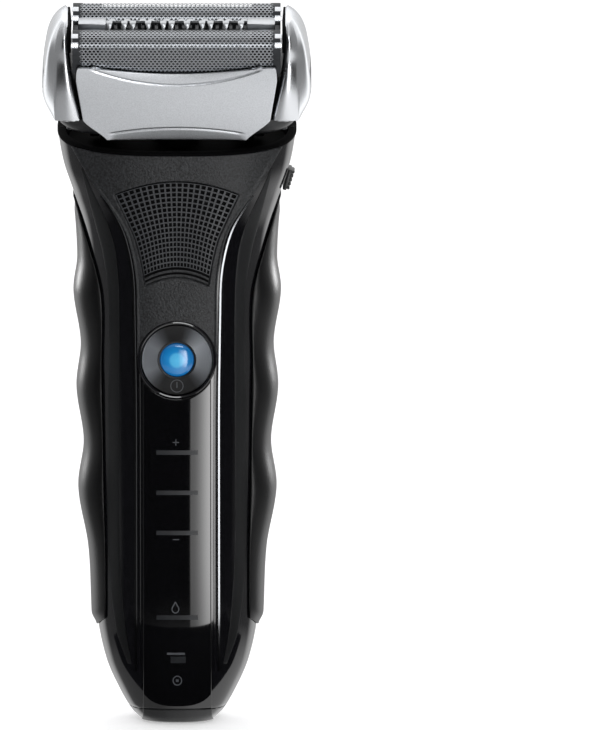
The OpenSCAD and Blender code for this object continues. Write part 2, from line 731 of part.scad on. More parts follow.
// ---- Cassette ---------------------------------------------------------------------------
holder_x = cutter_x + stroke + 0.9;
foil_foot = arch_z - 4;
ring_in_y = foil_y + cutter_r + 0.2;
ring_top = foil_foot - float - 0.4;
module cassette_frame() {
    color([0.1, 0.1, 0.1])
    on_head() difference() {
        box([-ring_x, ring_x], [-ring_y, ring_y], [ring_z0, ring_top]);
        box([-ring_x + ring_wall, ring_x - ring_wall], [-ring_in_y, ring_in_y],
            [ring_z0 - 1, ring_top + 1]);
    }
}
panel_y = ring_y + 0.2;
panel_top = foil_top - 6.5;
module panel(y) {
    color([0.76, 0.77, 0.79])
    on_head() translate([0, y, 0]) rotate([90, 0, 0]) linear_extrude(panel_t)
    polygon([[-16.1, head_gap], [16.1, head_gap], [21.3, head_gap + 5], [22.6, panel_top],
        [-22.6, panel_top], [-21.3, head_gap + 5]]);
}
module foil(y) {
    color([0.66, 0.67, 0.7])
    on_head() translate([-foil_x, y, 0]) rotate([90, 0, 90]) linear_extrude(2 * foil_x) difference() {
        union() {
            translate([0, arch_z]) circle(r = foil_r);
            translate([-foil_r, foil_foot]) square([2 * foil_r, arch_z - foil_foot]);
        }
        translate([0, arch_z]) circle(r = foil_r - foil_t);
        translate([-foil_r + foil_t, foil_foot - 1])
            square([2 * (foil_r - foil_t), arch_z - foil_foot + 1]);
    }
}
module foil_holders(y) {
    r = foil_r - foil_t - seat;
    color([0.3, 0.3, 0.31])
    on_head() pair() {
        along_x(holder_x, y, arch_z, r, foil_x - holder_x);
        box([holder_x, foil_x], [y - r, y + r], [foil_foot, arch_z]);
    }
}
comb_half = foil_y - foil_r - 0.4;
comb_z1 = foil_top - 0.9;
comb_z0 = foil_foot + 0.5;
blade_t = 0.8;
module middle_comb() {
    color([0.7, 0.71, 0.73])
    on_head() difference() {
        union() {
            box([-foil_x, foil_x], [-comb_half, comb_half], [comb_z0, comb_z1 - 1.4]);
            pair() box([16, foil_x - 1], [-comb_half, comb_half], [comb_z0, comb_z1]);
            for (k = [-10 : 9]) for (s = [-1, 1])
                box([k * blade_pitch + 0.35, k * blade_pitch + 1.15],
                    s > 0 ? [blade_t / 2 + 0.15, comb_half] : [-comb_half, -blade_t / 2 - 0.15],
                    [comb_z1 - 2, comb_z1]);
        }
        box([-17.5, 17.5], [-blade_t / 2 - 0.1, blade_t / 2 + 0.1], [comb_z1 - 5, comb_z1 + 1]);
    }
}
module middle_blade() {
    color([0.8, 0.81, 0.83])
    on_head() {
        box([-15.5, 15.5], [-blade_t / 2, blade_t / 2], [comb_z1 - 4.7, comb_z1 - 1.6]);
        for (k = [-10 : 9]) box([k * blade_pitch + 0.35, k * blade_pitch + 1.15],
            [-blade_t / 2, blade_t / 2], [comb_z1 - 2, comb_z1 - 0.1]);
    }
}

front_shell();
rear_shell();
case_seal();
mirror([1, 0, 0]) grip();  // grip_left
grip();  // grip_right
thumb_panel();
display_window();
button_ring();
power_button();
button_lens();
end_cap();
power_inlet();
inlet_pins();
station_contacts();
inner_frame();
circuit_board();
board_parts();
tact_switch();
battery_cells();
battery_tabs();
motor_can();
motor_shaft();
guide_rods();
drive_bridge();
drive_pin();
neck_plate();
drive_seal();
pivot_pins();
pivot_springs();
case_screws();
head_lock_switch();
trimmer_guide();
trimmer_slider();
trimmer_comb();
trimmer_blade();
head_frame();
mirror([1, 0, 0]) side_cap();  // side_cap_left
side_cap();  // side_cap_right
head_screws();
mirror([1, 0, 0]) release_button();  // release_button_left
release_button();  // release_button_right
cutter_carrier();
cutter(-foil_y);  // cutter_front
cutter(foil_y);  // cutter_rear
cutter_springs(-foil_y);  // springs_front
cutter_springs(foil_y);  // springs_rear
cassette_frame();
panel(-panel_y);  // cassette_front_panel
panel(panel_y + panel_t);  // cassette_rear_panel
foil(-foil_y);  // foil_front
foil(foil_y);  // foil_rear
foil_holders(-foil_y);  // foil_holders_front
foil_holders(foil_y);  // foil_holders_rear
middle_comb();
middle_blade();
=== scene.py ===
import bpy
import json
import math
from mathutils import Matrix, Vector


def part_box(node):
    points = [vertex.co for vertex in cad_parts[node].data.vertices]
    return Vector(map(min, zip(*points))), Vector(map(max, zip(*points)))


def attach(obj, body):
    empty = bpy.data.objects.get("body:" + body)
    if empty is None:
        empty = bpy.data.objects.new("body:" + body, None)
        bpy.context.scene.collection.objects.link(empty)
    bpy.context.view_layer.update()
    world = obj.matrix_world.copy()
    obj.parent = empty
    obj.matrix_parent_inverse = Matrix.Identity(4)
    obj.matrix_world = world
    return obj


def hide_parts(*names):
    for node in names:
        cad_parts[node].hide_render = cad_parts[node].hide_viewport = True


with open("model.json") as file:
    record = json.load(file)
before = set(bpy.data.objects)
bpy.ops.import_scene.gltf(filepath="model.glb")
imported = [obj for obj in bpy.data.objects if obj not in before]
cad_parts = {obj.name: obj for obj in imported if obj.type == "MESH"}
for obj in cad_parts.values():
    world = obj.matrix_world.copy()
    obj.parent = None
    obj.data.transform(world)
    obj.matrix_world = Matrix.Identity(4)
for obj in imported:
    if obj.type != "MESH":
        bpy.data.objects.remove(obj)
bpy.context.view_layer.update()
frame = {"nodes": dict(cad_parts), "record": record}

# Foil shaver. Lengths below are millimetres; MM turns them into scene metres.
MM = 0.001
JOINTS = {j["name"]: j for j in frame["record"]["behaviour"]["joints"]}
PIVOT_Z = JOINTS["head_tilt"]["pos_m"][2] / MM
LEAN = math.acos(JOINTS["cassette_lift"]["axis"][2])
TAN_LEAN = math.tan(LEAN)


def low(node, k):
    """Lowest coordinate k of a CAD node, in millimetres."""
    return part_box(node)[0][k] / MM


def high(node, k):
    """Highest coordinate k of a CAD node, in millimetres."""
    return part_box(node)[1][k] / MM


# Foot height, half width at the shoulders, depths to front and back, squareness of the section.
CAP_H = 3.3
SHOULDER = 26.2
FRONT_D = 12.6
REAR_D = 15.0
SQUARE = 2.6
# The top of the handle leans with the head: how far under the tilt axis it starts, and over what
# height.
LEAN_START = 27
LEAN_RUN = 21
BUTTON_Z = (low("button_ring", 2) + high("button_ring", 2)) / 2
BUTTON_Y = low("button_ring", 1) + 0.9
RING_R = (high("button_ring", 0) - low("button_ring", 0)) / 2
LENS_R = (high("button_lens", 0) - low("button_lens", 0)) / 2
# Foils: half length, distance from the middle, arch radius and crown height on the head.
FOIL_X = high("foil_front", 0)
FOIL_Y = 6.2
FOIL_R = 4.2
FOIL_TOP = 27.1
ARCH_Z = FOIL_TOP - FOIL_R
HEAD_HALF = high("side_cap_right", 0)

# Rows of: share of the tilt axis height, shares of half width, front and rear depth.
OUTLINE = [
    (0.000, 0.290, 0.510, 0.467), (0.015, 0.378, 0.635, 0.567), (0.052, 0.492, 0.730, 0.667),
    (0.104, 0.607, 0.825, 0.767), (0.179, 0.683, 0.905, 0.867), (0.300, 0.695, 0.968, 0.953),
    (0.450, 0.710, 1.000, 1.000), (0.600, 0.725, 1.000, 1.000), (0.750, 0.756, 0.976, 0.973),
    (0.835, 0.800, 0.952, 0.947), (0.900, 0.885, 0.952, 0.933), (0.950, 0.966, 0.968, 0.920),
    (1.000, 1.012, 0.984, 0.907),
]
# Share of the tilt axis height, share of half width at the finger waves.
WAVES = [
    (0.179, 0.733), (0.293, 0.760), (0.392, 0.845), (0.472, 0.798), (0.562, 0.859),
    (0.638, 0.821), (0.724, 0.882), (0.783, 0.851), (0.888, 0.905), (0.930, 0.955),
]
# Share of the tilt axis height, share of the handle's half width that the thumb panel spans.
THUMB = [
    (0.622, 0.460), (0.690, 0.454), (0.761, 0.456), (0.819, 0.510), (0.869, 0.580),
    (0.931, 0.700), (1.000, 0.866),
]


# ---- Curves and surfaces ----
def curve(table, column, z):
    """Smooth curve through one column of a table of rows that start with their place."""
    k = 0
    while k < len(table) - 2 and table[k + 1][0] <= z:
        k += 1

    def slope(i):
        a, b = table[max(i - 1, 0)], table[min(i + 1, len(table) - 1)]
        return (b[column] - a[column]) / (b[0] - a[0])

    d = table[k + 1][0] - table[k][0]
    u = (z - table[k][0]) / d
    return ((2 * u**3 - 3 * u**2 + 1) * table[k][column] + (u**3 - 2 * u**2 + u) * d * slope(k)
            + (3 * u**2 - 2 * u**3) * table[k + 1][column] + (u**3 - u**2) * d * slope(k + 1))


def mix(a, b, t):
    return a + (b - a) * t


def ease(t):
    t = max(0.0, min(1.0, t))
    return t * t * (3 - 2 * t)


def half_w(z):
    return curve(OUTLINE, 1, z / PIVOT_Z) * SHOULDER


def front_depth(z):
    return curve(OUTLINE, 2, z / PIVOT_Z) * FRONT_D


def rear_depth(z):
    return curve(OUTLINE, 3, z / PIVOT_Z) * REAR_D


def lean(z):
    """How far the ring at height z leans with the head, from 0 to 1."""
    return ease((z - PIVOT_Z + LEAN_START) / LEAN_RUN)


def power_of(v, square=SQUARE):
    return math.copysign(abs(v) ** (2 / square), v)


def handle_point(z, a, out=0.0):
    """Handle surface at ring height z and angle a in degrees; 270 is the front."""
    s, c = math.sin(math.radians(a)), math.cos(math.radians(a))
    depth = front_depth(z) if s < 0 else rear_depth(z)
    y = power_of(s) * (depth + out)
    return (half_w(z) + out) * power_of(c), y, z + y * TAN_LEAN * lean(z)


def front_point(z, x, out=0.0):
    """Front surface at ring height z and side distance x."""
    w = half_w(z)
    share = min(0.999, abs(x) / w) ** SQUARE
    y = -(front_depth(z) + out) * (1 - share) ** (1 / SQUARE)
    side = x * (1 + out * share / w)
    return side, y, z + y * TAN_LEAN * lean(z)


def on_head(x, y, z):
    """From the head's own frame to the shaver's."""
    s, c = math.sin(LEAN), math.cos(LEAN)
    return x, y * c - z * s, PIVOT_Z + y * s + z * c


# ---- Modelling helpers ----
def clear():
    """Leaves edit mode with nothing selected."""
    if bpy.context.object and bpy.context.object.mode != "OBJECT":
        bpy.ops.object.mode_set(mode="OBJECT")
    bpy.ops.object.select_all(action="DESELECT")


def pick(ob):
    """Selects one object alone and makes it active."""
    clear()
    bpy.context.view_layer.objects.active = ob
    ob.select_set(True)


def named(name):
    """Names the object that was just made."""
    ob = bpy.context.object
    ob.name = name
    ob.data.name = name
    return ob


def twin_of(ob, name):
    """A copy with its own mesh."""
    twin = ob.copy()
    twin.data = ob.data.copy()
    bpy.context.collection.objects.link(twin)
    twin.name = name
    twin.data.name = name
    return twin


def put(vertex, p):
    """Sets a corner to a point in millimetres."""
    vertex.co = (p[0] * MM, p[1] * MM, p[2] * MM)


def edit(ob, steps):
    """Runs the operators in steps on everything selected in edit mode."""
    pick(ob)
    bpy.ops.object.mode_set(mode="EDIT")
    bpy.ops.mesh.select_all(action="SELECT")
    steps()
    bpy.ops.object.mode_set(mode="OBJECT")
    ob.select_set(False)
    return ob


def apply(ob, kind, **values):
    """Adds a modifier, sets its values and applies it."""
    pick(ob)
    m = ob.modifiers.new(kind, kind)
    for key, value in values.items():
        setattr(m, key, value)
    bpy.ops.object.modifier_apply(modifier=m.name)
    ob.select_set(False)
    return ob


def smooth(ob, angle):
    """Shades a piece smooth, with sharp edges above the angle in degrees."""
    pick(ob)
    bpy.ops.object.shade_smooth_by_angle(angle=math.radians(angle))
    ob.select_set(False)


def sheet(name, nu, nv, place, weld=False, fill=False):
    """A grid of nu by nv faces whose corners go to place(u, v), u and v from 0 to 1."""
    clear()
    bpy.ops.mesh.primitive_grid_add(x_subdivisions=nu, y_subdivisions=nv, size=2)
    ob = named(name)
    for v in ob.data.vertices:
        put(v, place(round((v.co.x + 1) / 2 * nu) / nu, round((v.co.y + 1) / 2 * nv) / nv))
    if weld:
        edit(ob, lambda: bpy.ops.mesh.remove_doubles(threshold=1e-6))
    if fill:
        def close():
            bpy.ops.mesh.select_all(action="DESELECT")
            bpy.ops.mesh.select_mode(type="EDGE")
            bpy.ops.mesh.select_non_manifold()
            bpy.ops.mesh.edge_face_add()
            bpy.ops.mesh.select_all(action="SELECT")
        edit(ob, close)
    return outward(ob)


def outward(ob):
    """Turns every face of a piece outwards."""
    return edit(ob, lambda: bpy.ops.mesh.normals_make_consistent(inside=False))


def thicken(ob, t, offset=-1.0):
    """Gives a sheet its thickness t in millimetres."""
    return apply(ob, "SOLIDIFY", thickness=t * MM, offset=offset, use_even_offset=True)


def skin(name, nu, nv, place, t, bevel=0, segments=2):
    """A sheet with its thickness t and, with a bevel, rounded edges."""
    ob = thicken(sheet(name, nu, nv, place), t)
    return bevelled(ob, bevel, segments) if bevel else ob


def bevelled(ob, width, segments=2, angle=50):
    """Rounds the edges that are sharper than the angle in degrees."""
    return apply(ob, "BEVEL", width=width * MM, segments=segments, limit_method="ANGLE",
                 angle_limit=math.radians(angle), harden_normals=False)


def join(name, pieces):
    """Makes one object of several."""
    clear()
    for p in pieces:
        p.select_set(True)
    bpy.context.view_layer.objects.active = pieces[0]
    if len(pieces) > 1:
        bpy.ops.object.join()
    ob = named(name)
    ob.select_set(False)
    return ob


def block(name, x, y, z, bevel=0.2, segments=2, place=None):
    """A bevelled block between the given limits, moved to its place by place()."""
    clear()
    bpy.ops.mesh.primitive_cube_add(size=1)
    ob = named(name)
    for v in ob.data.vertices:
        put(v, (mix(*x, v.co.x + 0.5), mix(*y, v.co.y + 0.5), mix(*z, v.co.z + 0.5)))
    if bevel:
        edit(ob, lambda: bpy.ops.mesh.bevel(offset=bevel * MM, segments=segments))
    if place:
        move(ob, place)
    return ob


def move(ob, place):
    """Sends every corner through place(), which works in millimetres."""
    for v in ob.data.vertices:
        put(v, place(v.co.x / MM, v.co.y / MM, v.co.z / MM))
    ob.data.update()
    return ob


def drum(name, r, z0, z1, sides, bevel, place):
    """A round bar from z0 to z1, bevelled at its rims and moved to its place by place()."""
    clear()
    bpy.ops.mesh.primitive_cylinder_add(vertices=sides, radius=r * MM, depth=(z1 - z0) * MM,
                                        location=(0, 0, 0))
    ob = named(name)
    for v in ob.data.vertices:
        v.co.z += (z0 + z1) / 2 * MM
    if bevel:
        bevelled(ob, bevel, angle=60)
    return move(ob, place)


def turned(name, profile, sides, place):
    """A turned piece: its profile of (radius, height) points is spun round, then placed."""
    def point(u, v):
        r, h = profile[round(v * (len(profile) - 1))]
        return r * math.cos(2 * math.pi * u), r * math.sin(2 * math.pi * u), h
    return outward(move(sheet(name, sides, len(profile) - 1, point, weld=True), place))


def mirrored(ob, name):
    """A copy on the other side of the middle plane."""
    twin = twin_of(ob, name)
    for v in twin.data.vertices:
        v.co.x = -v.co.x
    return edit(twin, lambda: bpy.ops.mesh.flip_normals())


def to_head(ob):
    """Puts a piece modelled in the head's frame in its place."""
    return outward(move(ob, on_head))


def fit_pair(right, bodies, material, nodes=("", ""), angle=40):
    """Fits out a right-hand piece and its mirror image, each with its own body and CAD node."""
    left = mirrored(right, right.name.replace("right", "left"))
    for ob, body, node_name in zip((right, left), bodies, nodes):
        fit_out(ob, body, material, [node_name] if node_name else (), angle)


def fit_out(ob, body, material, nodes=(), angle=40):
    """Gives a finished piece its body, finish and the CAD nodes that it stands for."""
    ob.data.materials.clear()
    ob.data.materials.append(material)
    smooth(ob, angle)
    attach(ob, body)
    if material in (SOFT, GLOSS, WINDOW, CHARCOAL, BAND):
        RIM_LIT.objects.link(ob)
    if nodes:
        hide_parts(*nodes)
    return ob


# ---- Materials ----
def wire(socket, value):
    """Gives a socket its value, or links another node's output to it."""
    if isinstance(value, bpy.types.NodeSocket):
        socket.id_data.links.new(value, socket)
    else:
        socket.default_value = value


def node(nt, kind, output=0, settings=None, **inputs):
    """Adds a shader node and returns one of its outputs; From_Min names the input From Min."""
    n = nt.nodes.new("ShaderNode" + kind)
    for key, value in (settings or {}).items():
        setattr(n, key, value)
    for key, value in inputs.items():
        wire(n.inputs[key.replace("_", " ")], value)
    return n.outputs[output]


def maths(nt, operation, *values):
    """Adds one step of arithmetic."""
    n = nt.nodes.new("ShaderNodeMath")
    n.operation = operation
    for socket, value in zip(n.inputs, values):
        wire(socket, value)
    return n.outputs[0]


def combined(nt, operation, values):
    """Takes a row of values together, two at a time."""
    total = values[0]
    for value in values[1:]:
        total = maths(nt, operation, total, value)
    return total


def xyz(nt, coordinates):
    """The three numbers of a texture coordinate."""
    split = nt.nodes.new("ShaderNodeSeparateXYZ")
    wire(split.inputs["Vector"], node(nt, "TexCoord", coordinates))
    return [split.outputs[k] for k in range(3)]


COAT_ROUGH = 0.04
BUMP_STEP = 0.0001
DRIFT_SIZE = 60


def bumps(nt, strength, height):
    """A fine bump that follows the height."""
    return node(nt, "Bump", "Normal", Strength=strength, Distance=BUMP_STEP, Height=height)


def finish(name, colour, rough, metal=0.0, coat=0.0, grain=0.0, grain_size=900, speckle=0.0,
           bump=0.0, vary=0.05, gleam=0.5):
    """A procedural finish: base colour with fine grain, roughness drift and a fine bump."""
    m = bpy.data.materials.new(name)
    m.use_nodes = True
    nt = m.node_tree
    where = node(nt, "TexCoord", "Object")
    fine = node(nt, "TexNoise", "Fac", Scale=grain_size, Detail=2, Vector=where)
    broad = node(nt, "TexNoise", "Fac", Scale=DRIFT_SIZE, Detail=3, Vector=where)
    spread = grain + speckle
    tint = node(nt, "Mix", "Result", {"data_type": "RGBA"},
                A=tuple(c * (1 - spread) for c in colour) + (1,),
                B=tuple(min(1, c * (1 + spread)) for c in colour) + (1,),
                Factor=node(nt, "MapRange", "Result", From_Min=0.3, From_Max=0.7, Value=fine))
    drift = node(nt, "MapRange", "Result", To_Min=max(0.0, rough - vary), To_Max=rough + vary,
                 Value=broad)
    values = {"Metallic": metal, "Coat Weight": coat, "Coat Roughness": COAT_ROUGH,
              "Specular IOR Level": gleam, "Base Color": tint, "Roughness": drift}
    if bump:
        values["Normal"] = bumps(nt, bump, fine)
    for key, value in values.items():
        wire(nt.nodes["Principled BSDF"].inputs[key], value)
    return m


GLOSS = finish("piano_black", (0.004, 0.004, 0.005), 0.10, coat=0.6, grain=0.2, vary=0.02)
WINDOW = finish("window_black", (0.002, 0.002, 0.0025), 0.05, coat=0.5, grain=0.2, vary=0.015)
SOFT = finish("soft_touch_black", (0.003, 0.003, 0.0034), 0.34, grain=0.3, bump=0.25,
              grain_size=2500, gleam=0.38)
CHARCOAL = finish("charcoal_grain", (0.0125, 0.0132, 0.0148), 0.44, grain=0.45, speckle=0.35,
                  grain_size=2300, bump=1.0, gleam=0.42)
# Charcoal made lighter for the fan's ribs: a painted highlight on their tops.
RIB_PAINTED_HIGHLIGHT = finish("charcoal_rib_painted_highlight", (0.034, 0.036, 0.040), 0.42, grain=0.3, grain_size=2300)
BAND = finish("satin_band", (0.0055, 0.006, 0.0068), 0.42, grain=0.25, grain_size=2500, bump=0.2,
              vary=0.04, gleam=0.35)
DARK = finish("dark_moulding", (0.008, 0.0085, 0.0095), 0.34, grain=0.3, grain_size=2200,
              bump=0.25)
SILVER = finish("satin_silver", (0.72, 0.74, 0.77), 0.33, metal=1, grain=0.05, speckle=0.04,
                grain_size=4200, bump=0.1, vary=0.03)
BRIGHT = finish("bright_silver", (0.72, 0.735, 0.76), 0.26, metal=1, grain=0.04, grain_size=3500,
                bump=0.06, vary=0.03)
FOIL = finish("foil_steel", (0.40, 0.415, 0.435), 0.30, metal=1, grain=0.08, grain_size=2500,
              bump=0.1, vary=0.04)
STEEL = finish("ground_steel", (0.60, 0.61, 0.63), 0.26, metal=1, grain=0.08, grain_size=1800,
               bump=0.1)
PAD = finish("pad_grey", (0.10, 0.105, 0.11), 0.36, metal=0.6, grain=0.15, grain_size=2500,
             bump=0.2, vary=0.04)
LENS = finish("blue_lens", (0.012, 0.20, 0.56), 0.14, coat=0.8, grain=0.08, grain_size=500,
              vary=0.02)
TRIM = finish("trim_line", (0.20, 0.205, 0.215), 0.18, metal=1, grain=0.05, vary=0.02)
# Steel darkened to near black: painted shade for the cutters, comb core, screws and blade inside the
# head.
CUTTER_SHADE_STEEL = finish("cutter_steel", (0.06, 0.062, 0.065), 0.35, metal=1, grain=0.15)
# Steel darkened to near black: painted shade on the foils' plain borders.
EDGE = finish("foil_edge", (0.05, 0.052, 0.056), 0.38, metal=1, grain=0.1, vary=0.04)
TOOTH = finish("comb_steel", (0.52, 0.535, 0.555), 0.34, metal=1, grain=0.06, vary=0.04)
MARK = finish("window_mark", (0.060, 0.064, 0.072), 0.35, grain=0.15, vary=0.03)
BAR = finish("window_bar", (0.014, 0.0155, 0.018), 0.30, grain=0.2, vary=0.03)
# Near-black with almost no gloss: painted shade for the sheets and parts in gaps, recesses and holes;
# the dark card is a black flag of it.
SHADE_BLACK = finish("shade_black", (0.0015, 0.0015, 0.0018), 0.7, grain=0.3, gleam=0.08)
BOARD = finish("solder_mask", (0.02, 0.16, 0.07), 0.35, grain=0.3)
CELL = finish("cell_sleeve", (0.06, 0.28, 0.14), 0.35, grain=0.2)
GOLD = finish("plated_contact", (0.80, 0.62, 0.30), 0.22, metal=1, grain=0.08, vary=0.04)
WHITE = finish("natural_moulding", (0.62, 0.62, 0.60), 0.45, grain=0.08)
SEAL = finish("moulded_seal", (0.07, 0.07, 0.072), 0.6, grain=0.2, bump=0.2)
FOR_SLOT = {
    "gloss_black": GLOSS, "window_black": WINDOW, "soft_black": SOFT, "charcoal": CHARCOAL,
    "dark_plastic": DARK, "button_black": DARK, "blue_lens": LENS, "silver": SILVER,
    "pad_grey": PAD,
    "foil_steel": FOIL, "steel": STEEL, "board_green": BOARD, "chip_black": DARK, "cell_wrap": CELL,
    "contact_gold": GOLD, "frame_white": WHITE, "seal_grey": SEAL,
}


def from_centre(nt):
    """A point's angle round the button and its distance from the button's middle."""
    x, _, height = xyz(nt, "Object")
    z = maths(nt, "SUBTRACT", height, BUTTON_Z * MM)
    squares = [maths(nt, "MULTIPLY", x, x), maths(nt, "MULTIPLY", z, z)]
    return maths(nt, "ARCTAN2", x, z), maths(nt, "SQRT", maths(nt, "ADD", *squares))


def shades(nt, value, stops):
    """A colour that runs through the stops as the value goes from 0 to 1."""
    ramp = nt.nodes.new("ShaderNodeValToRGB")
    while len(ramp.color_ramp.elements) < len(stops):
        ramp.color_ramp.elements.new(0.5)
    for e, (at, colour) in zip(ramp.color_ramp.elements, stops):
        e.position = at
        e.color = tuple(colour) + (1,)
    wire(ramp.inputs["Fac"], value)
    return ramp.outputs["Color"]


def painted_sheen_button_face():
    """Dark button face turned on a lathe, with a painted sheen: light and dark sectors round the
    middle are painted into its base colour as a painted reflection.
    """
    m = finish("spun_button_painted_sheen", (0.02, 0.02, 0.02), 0.34, metal=0.4, vary=0.03)
    nt = m.node_tree
    angle, radius = from_centre(nt)
    turn = maths(nt, "ADD", maths(nt, "DIVIDE", angle, 2 * math.pi), 0.5)
    dark, mid, light = (0.003, 0.003, 0.0035), (0.03, 0.032, 0.036), (0.15, 0.16, 0.175)
    pale = (0.23, 0.245, 0.265)
    # Painted reflection: the base colour runs through dark, mid, light and pale sectors by angle round
    # the button.
    painted_sheen_sectors = shades(nt, turn, [
        (0.0, dark), (0.09, dark), (0.125, mid), (0.19, light), (0.33, light), (0.41, mid),
        (0.445, dark), (0.535, dark), (0.565, mid), (0.66, pale), (0.80, light), (0.875, mid),
        (0.91, dark), (1.0, dark)])
    groove = maths(nt, "SINE", maths(nt, "MULTIPLY", radius, GROOVES))
    shader = nt.nodes["Principled BSDF"].inputs
    wire(shader["Base Color"], painted_sheen_sectors)
    wire(shader["Normal"], bumps(nt, 0.25, groove))
    return m


def lit_lens():
    """Blue lens, paler towards its middle."""
    nt = LENS.node_tree
    share = maths(nt, "DIVIDE", from_centre(nt)[1], LENS_R * MM)
    tint = shades(nt, share, [(0.0, (0.085, 0.42, 0.68)), (0.36, (0.065, 0.36, 0.62)),
                              (0.5, (0.010, 0.19, 0.46)), (1.0, (0.004, 0.11, 0.32))])
    shader = nt.nodes["Principled BSDF"].inputs
    wire(shader["Base Color"], tint)
    wire(shader["Emission Color"], tint)
    shader["Emission Strength"].default_value = LENS_GLOW


# Turning marks on the button's face, in radians a metre, and the light of the lens.
GROOVES = 60000.0
LENS_GLOW = 0.22
lit_lens()
SPUN_PAINTED_SHEEN = painted_sheen_button_face()
# CAD parts in the gap and inside the head, darkened as painted shade: the neck's seal and plate take
# the near-black shade material, the cutters, screws and middle blade the darkened cutter steel.
PAINTED_SHADE_PARTS = {"cutter_front": CUTTER_SHADE_STEEL, "cutter_rear": CUTTER_SHADE_STEEL, "drive_seal": SHADE_BLACK,
               "neck_plate": SHADE_BLACK, "head_screws": CUTTER_SHADE_STEEL, "middle_blade": CUTTER_SHADE_STEEL}
for name, ob in frame["nodes"].items():
    slot_name = next(s["material_slot"] for s in frame["record"]["subparts"] if s["node"] == name)
    ob.data.materials.clear()
    ob.data.materials.append(PAINTED_SHADE_PARTS.get(name) or FOR_SLOT[slot_name])


# ---- Handle ----
TOP_Z = PIVOT_Z - 0.1
WALL = 1.6


def shells():
    """Front and rear shell, split along the sides."""
    for side, a0, a1 in (("front", 180, 360), ("rear", 0.4, 179.6)):
        shell = sheet(side + "_shell_moulding", 120, 150, lambda u, v: handle_point(
            mix(CAP_H + 0.1, TOP_Z, v), mix(a0, a1, u)))
        thicken(shell, WALL)
        level_rim(shell)
        bevelled(shell, 0.25)
        if side == "front":
            tool = drum("bore_tool", RING_R + 0.05, -4, 6, 128, 0, on_button)
            cut_with(outward(shell), outward(tool))
        fit_out(shell, "handle", GLOSS, [side + "_shell"])


def level_rim(ob):
    """Trims a shell's open top to the plane that leans with the head."""
    for v in ob.data.vertices:
        v.co.z = min(v.co.z, (TOP_Z + v.co.y / MM * TAN_LEAN) * MM)


def neck_shade_sheet():
    """Near-black sheet that caps the shells' rim: painted shade for the gap under the head, which also
    hides the rim's highlight.
    """
    section = [(0.05, -0.45), (0.05, -0.04), (-0.08, 0.05), (-1.6, 0.05), (-1.75, -0.04),
               (-1.75, -0.4)]

    def place(u, v):
        out, rise = section[round(v * (len(section) - 1))]
        x, y, z = handle_point(TOP_Z, 360 * u, out)
        return x, y, TOP_Z + y * TAN_LEAN + rise
    shade_sheet = sheet("neck_shade_sheet", 240, len(section) - 1, place, weld=True)
    thicken(shade_sheet, 0.06)
    fit_out(shade_sheet, "handle", SHADE_BLACK)


# Share of the tilt axis height, share of the half width where the grip's front seam runs.
SEAM_FRONT = [
    (0.170, 0.900), (0.185, 0.875), (0.220, 0.862), (0.600, 0.862), (0.690, 0.835), (0.730, 0.840),
    (0.765, 0.880), (0.800, 0.935), (0.835, 0.975), (0.865, 0.992), (0.890, 0.999),
]
SEAM_REAR = 0.80
GRIP_Z0 = 24.0
GRIP_Z1 = PIVOT_Z - 15
ON_HANDLE = ["handle", "handle"]
ON_HEAD = ["head", "head"]


def angle_at(share):
    """Angle round the section at a share of its half width."""
    return math.degrees(math.acos(min(0.999, share) ** (SQUARE / 2)))


def grip_point(u, v):
    """Outer surface of the right grip: u from its front seam to its rear seam, v up."""
    z = mix(GRIP_Z0, GRIP_Z1, v) - 2.6 * (1 - v) * math.sin(math.pi * u)
    seam = curve(SEAM_FRONT, 1, max(0.17, min(0.889, z / PIVOT_Z)))
    a = mix(-angle_at(seam), angle_at(SEAM_REAR), u)
    rise = curve(WAVES, 1, z / PIVOT_Z) * SHOULDER - half_w(z)
    ends = ease(v / 0.03) * ease((1 - v) / 0.05)
    swell = mix(0.5, rise, math.sin(math.pi * u) ** 0.8)
    return handle_point(z, a, mix(0.45, swell, ends))


def grips():
    """Wavy soft overmoulds on both flanks."""
    fit_pair(skin("grip_right_overmould", 60, 190, grip_point, 0.42, 0.18, 3), ON_HANDLE, SOFT,
             ["grip_right", "grip_left"])


# Rows of: ring height from the tilt axis, inner and outer side distance of the satin band.
BAND_EDGES = [
    (-120, 10.2, 11.0), (-112, 11.6, 13.6), (-95, 12.8, 15.3), (-70, 12.9, 15.4),
    (-37, 12.85, 15.1), (-27, 13.6, 16.5), (-21.4, 14.85, 17.8), (-16, 16.5, 18.9),
    (-8.5, 19.4, 20.4), (-5, 20.9, 21.2),
]


def bands():
    """Satin bands in the gloss front, beside the panel and the window."""
    def place(u, v):
        d = mix(BAND_EDGES[0][0], BAND_EDGES[-1][0], v)
        x = mix(curve(BAND_EDGES, 1, d), curve(BAND_EDGES, 2, d), u)
        return front_point(PIVOT_Z + d, x, 0.14)
    fit_pair(skin("frame_band_right", 6, 150, place, 0.3, 0.06), ON_HANDLE, BAND)


# The fan of small cells: share up the fan, side distance of its edge, height of its middle
# under the tilt axis, and how far its ends hang below the middle.
FAN = [
    (0.0, 6.9, -32.0, 1.85), (0.25, 7.75, -26.6, 2.1), (0.5, 9.0, -21.4, 2.35),
    (0.75, 11.2, -16.1, 2.6), (1.0, 13.5, -10.9, 2.9),
]
FAN_COLUMNS = 20
FAN_ROWS = 17


def fan_point(p, q, out):
    """p from -1 to 1 across the fan and q from 0 to 1 up it, out from the panel's own level."""
    side = p * curve(FAN, 1, q)
    world_z = PIVOT_Z + curve(FAN, 2, q) - curve(FAN, 3, q) * p * p
    ring = world_z
    for _ in range(6):
        y = front_point(ring, side, PANEL_OUT)[1]
        ring = world_z - y * TAN_LEAN * lean(ring)
    return front_point(ring, side, panel_level(ring, side) + out)


PANEL_OUT = 0.85
PANEL_Z0 = BUTTON_Z - 1.0


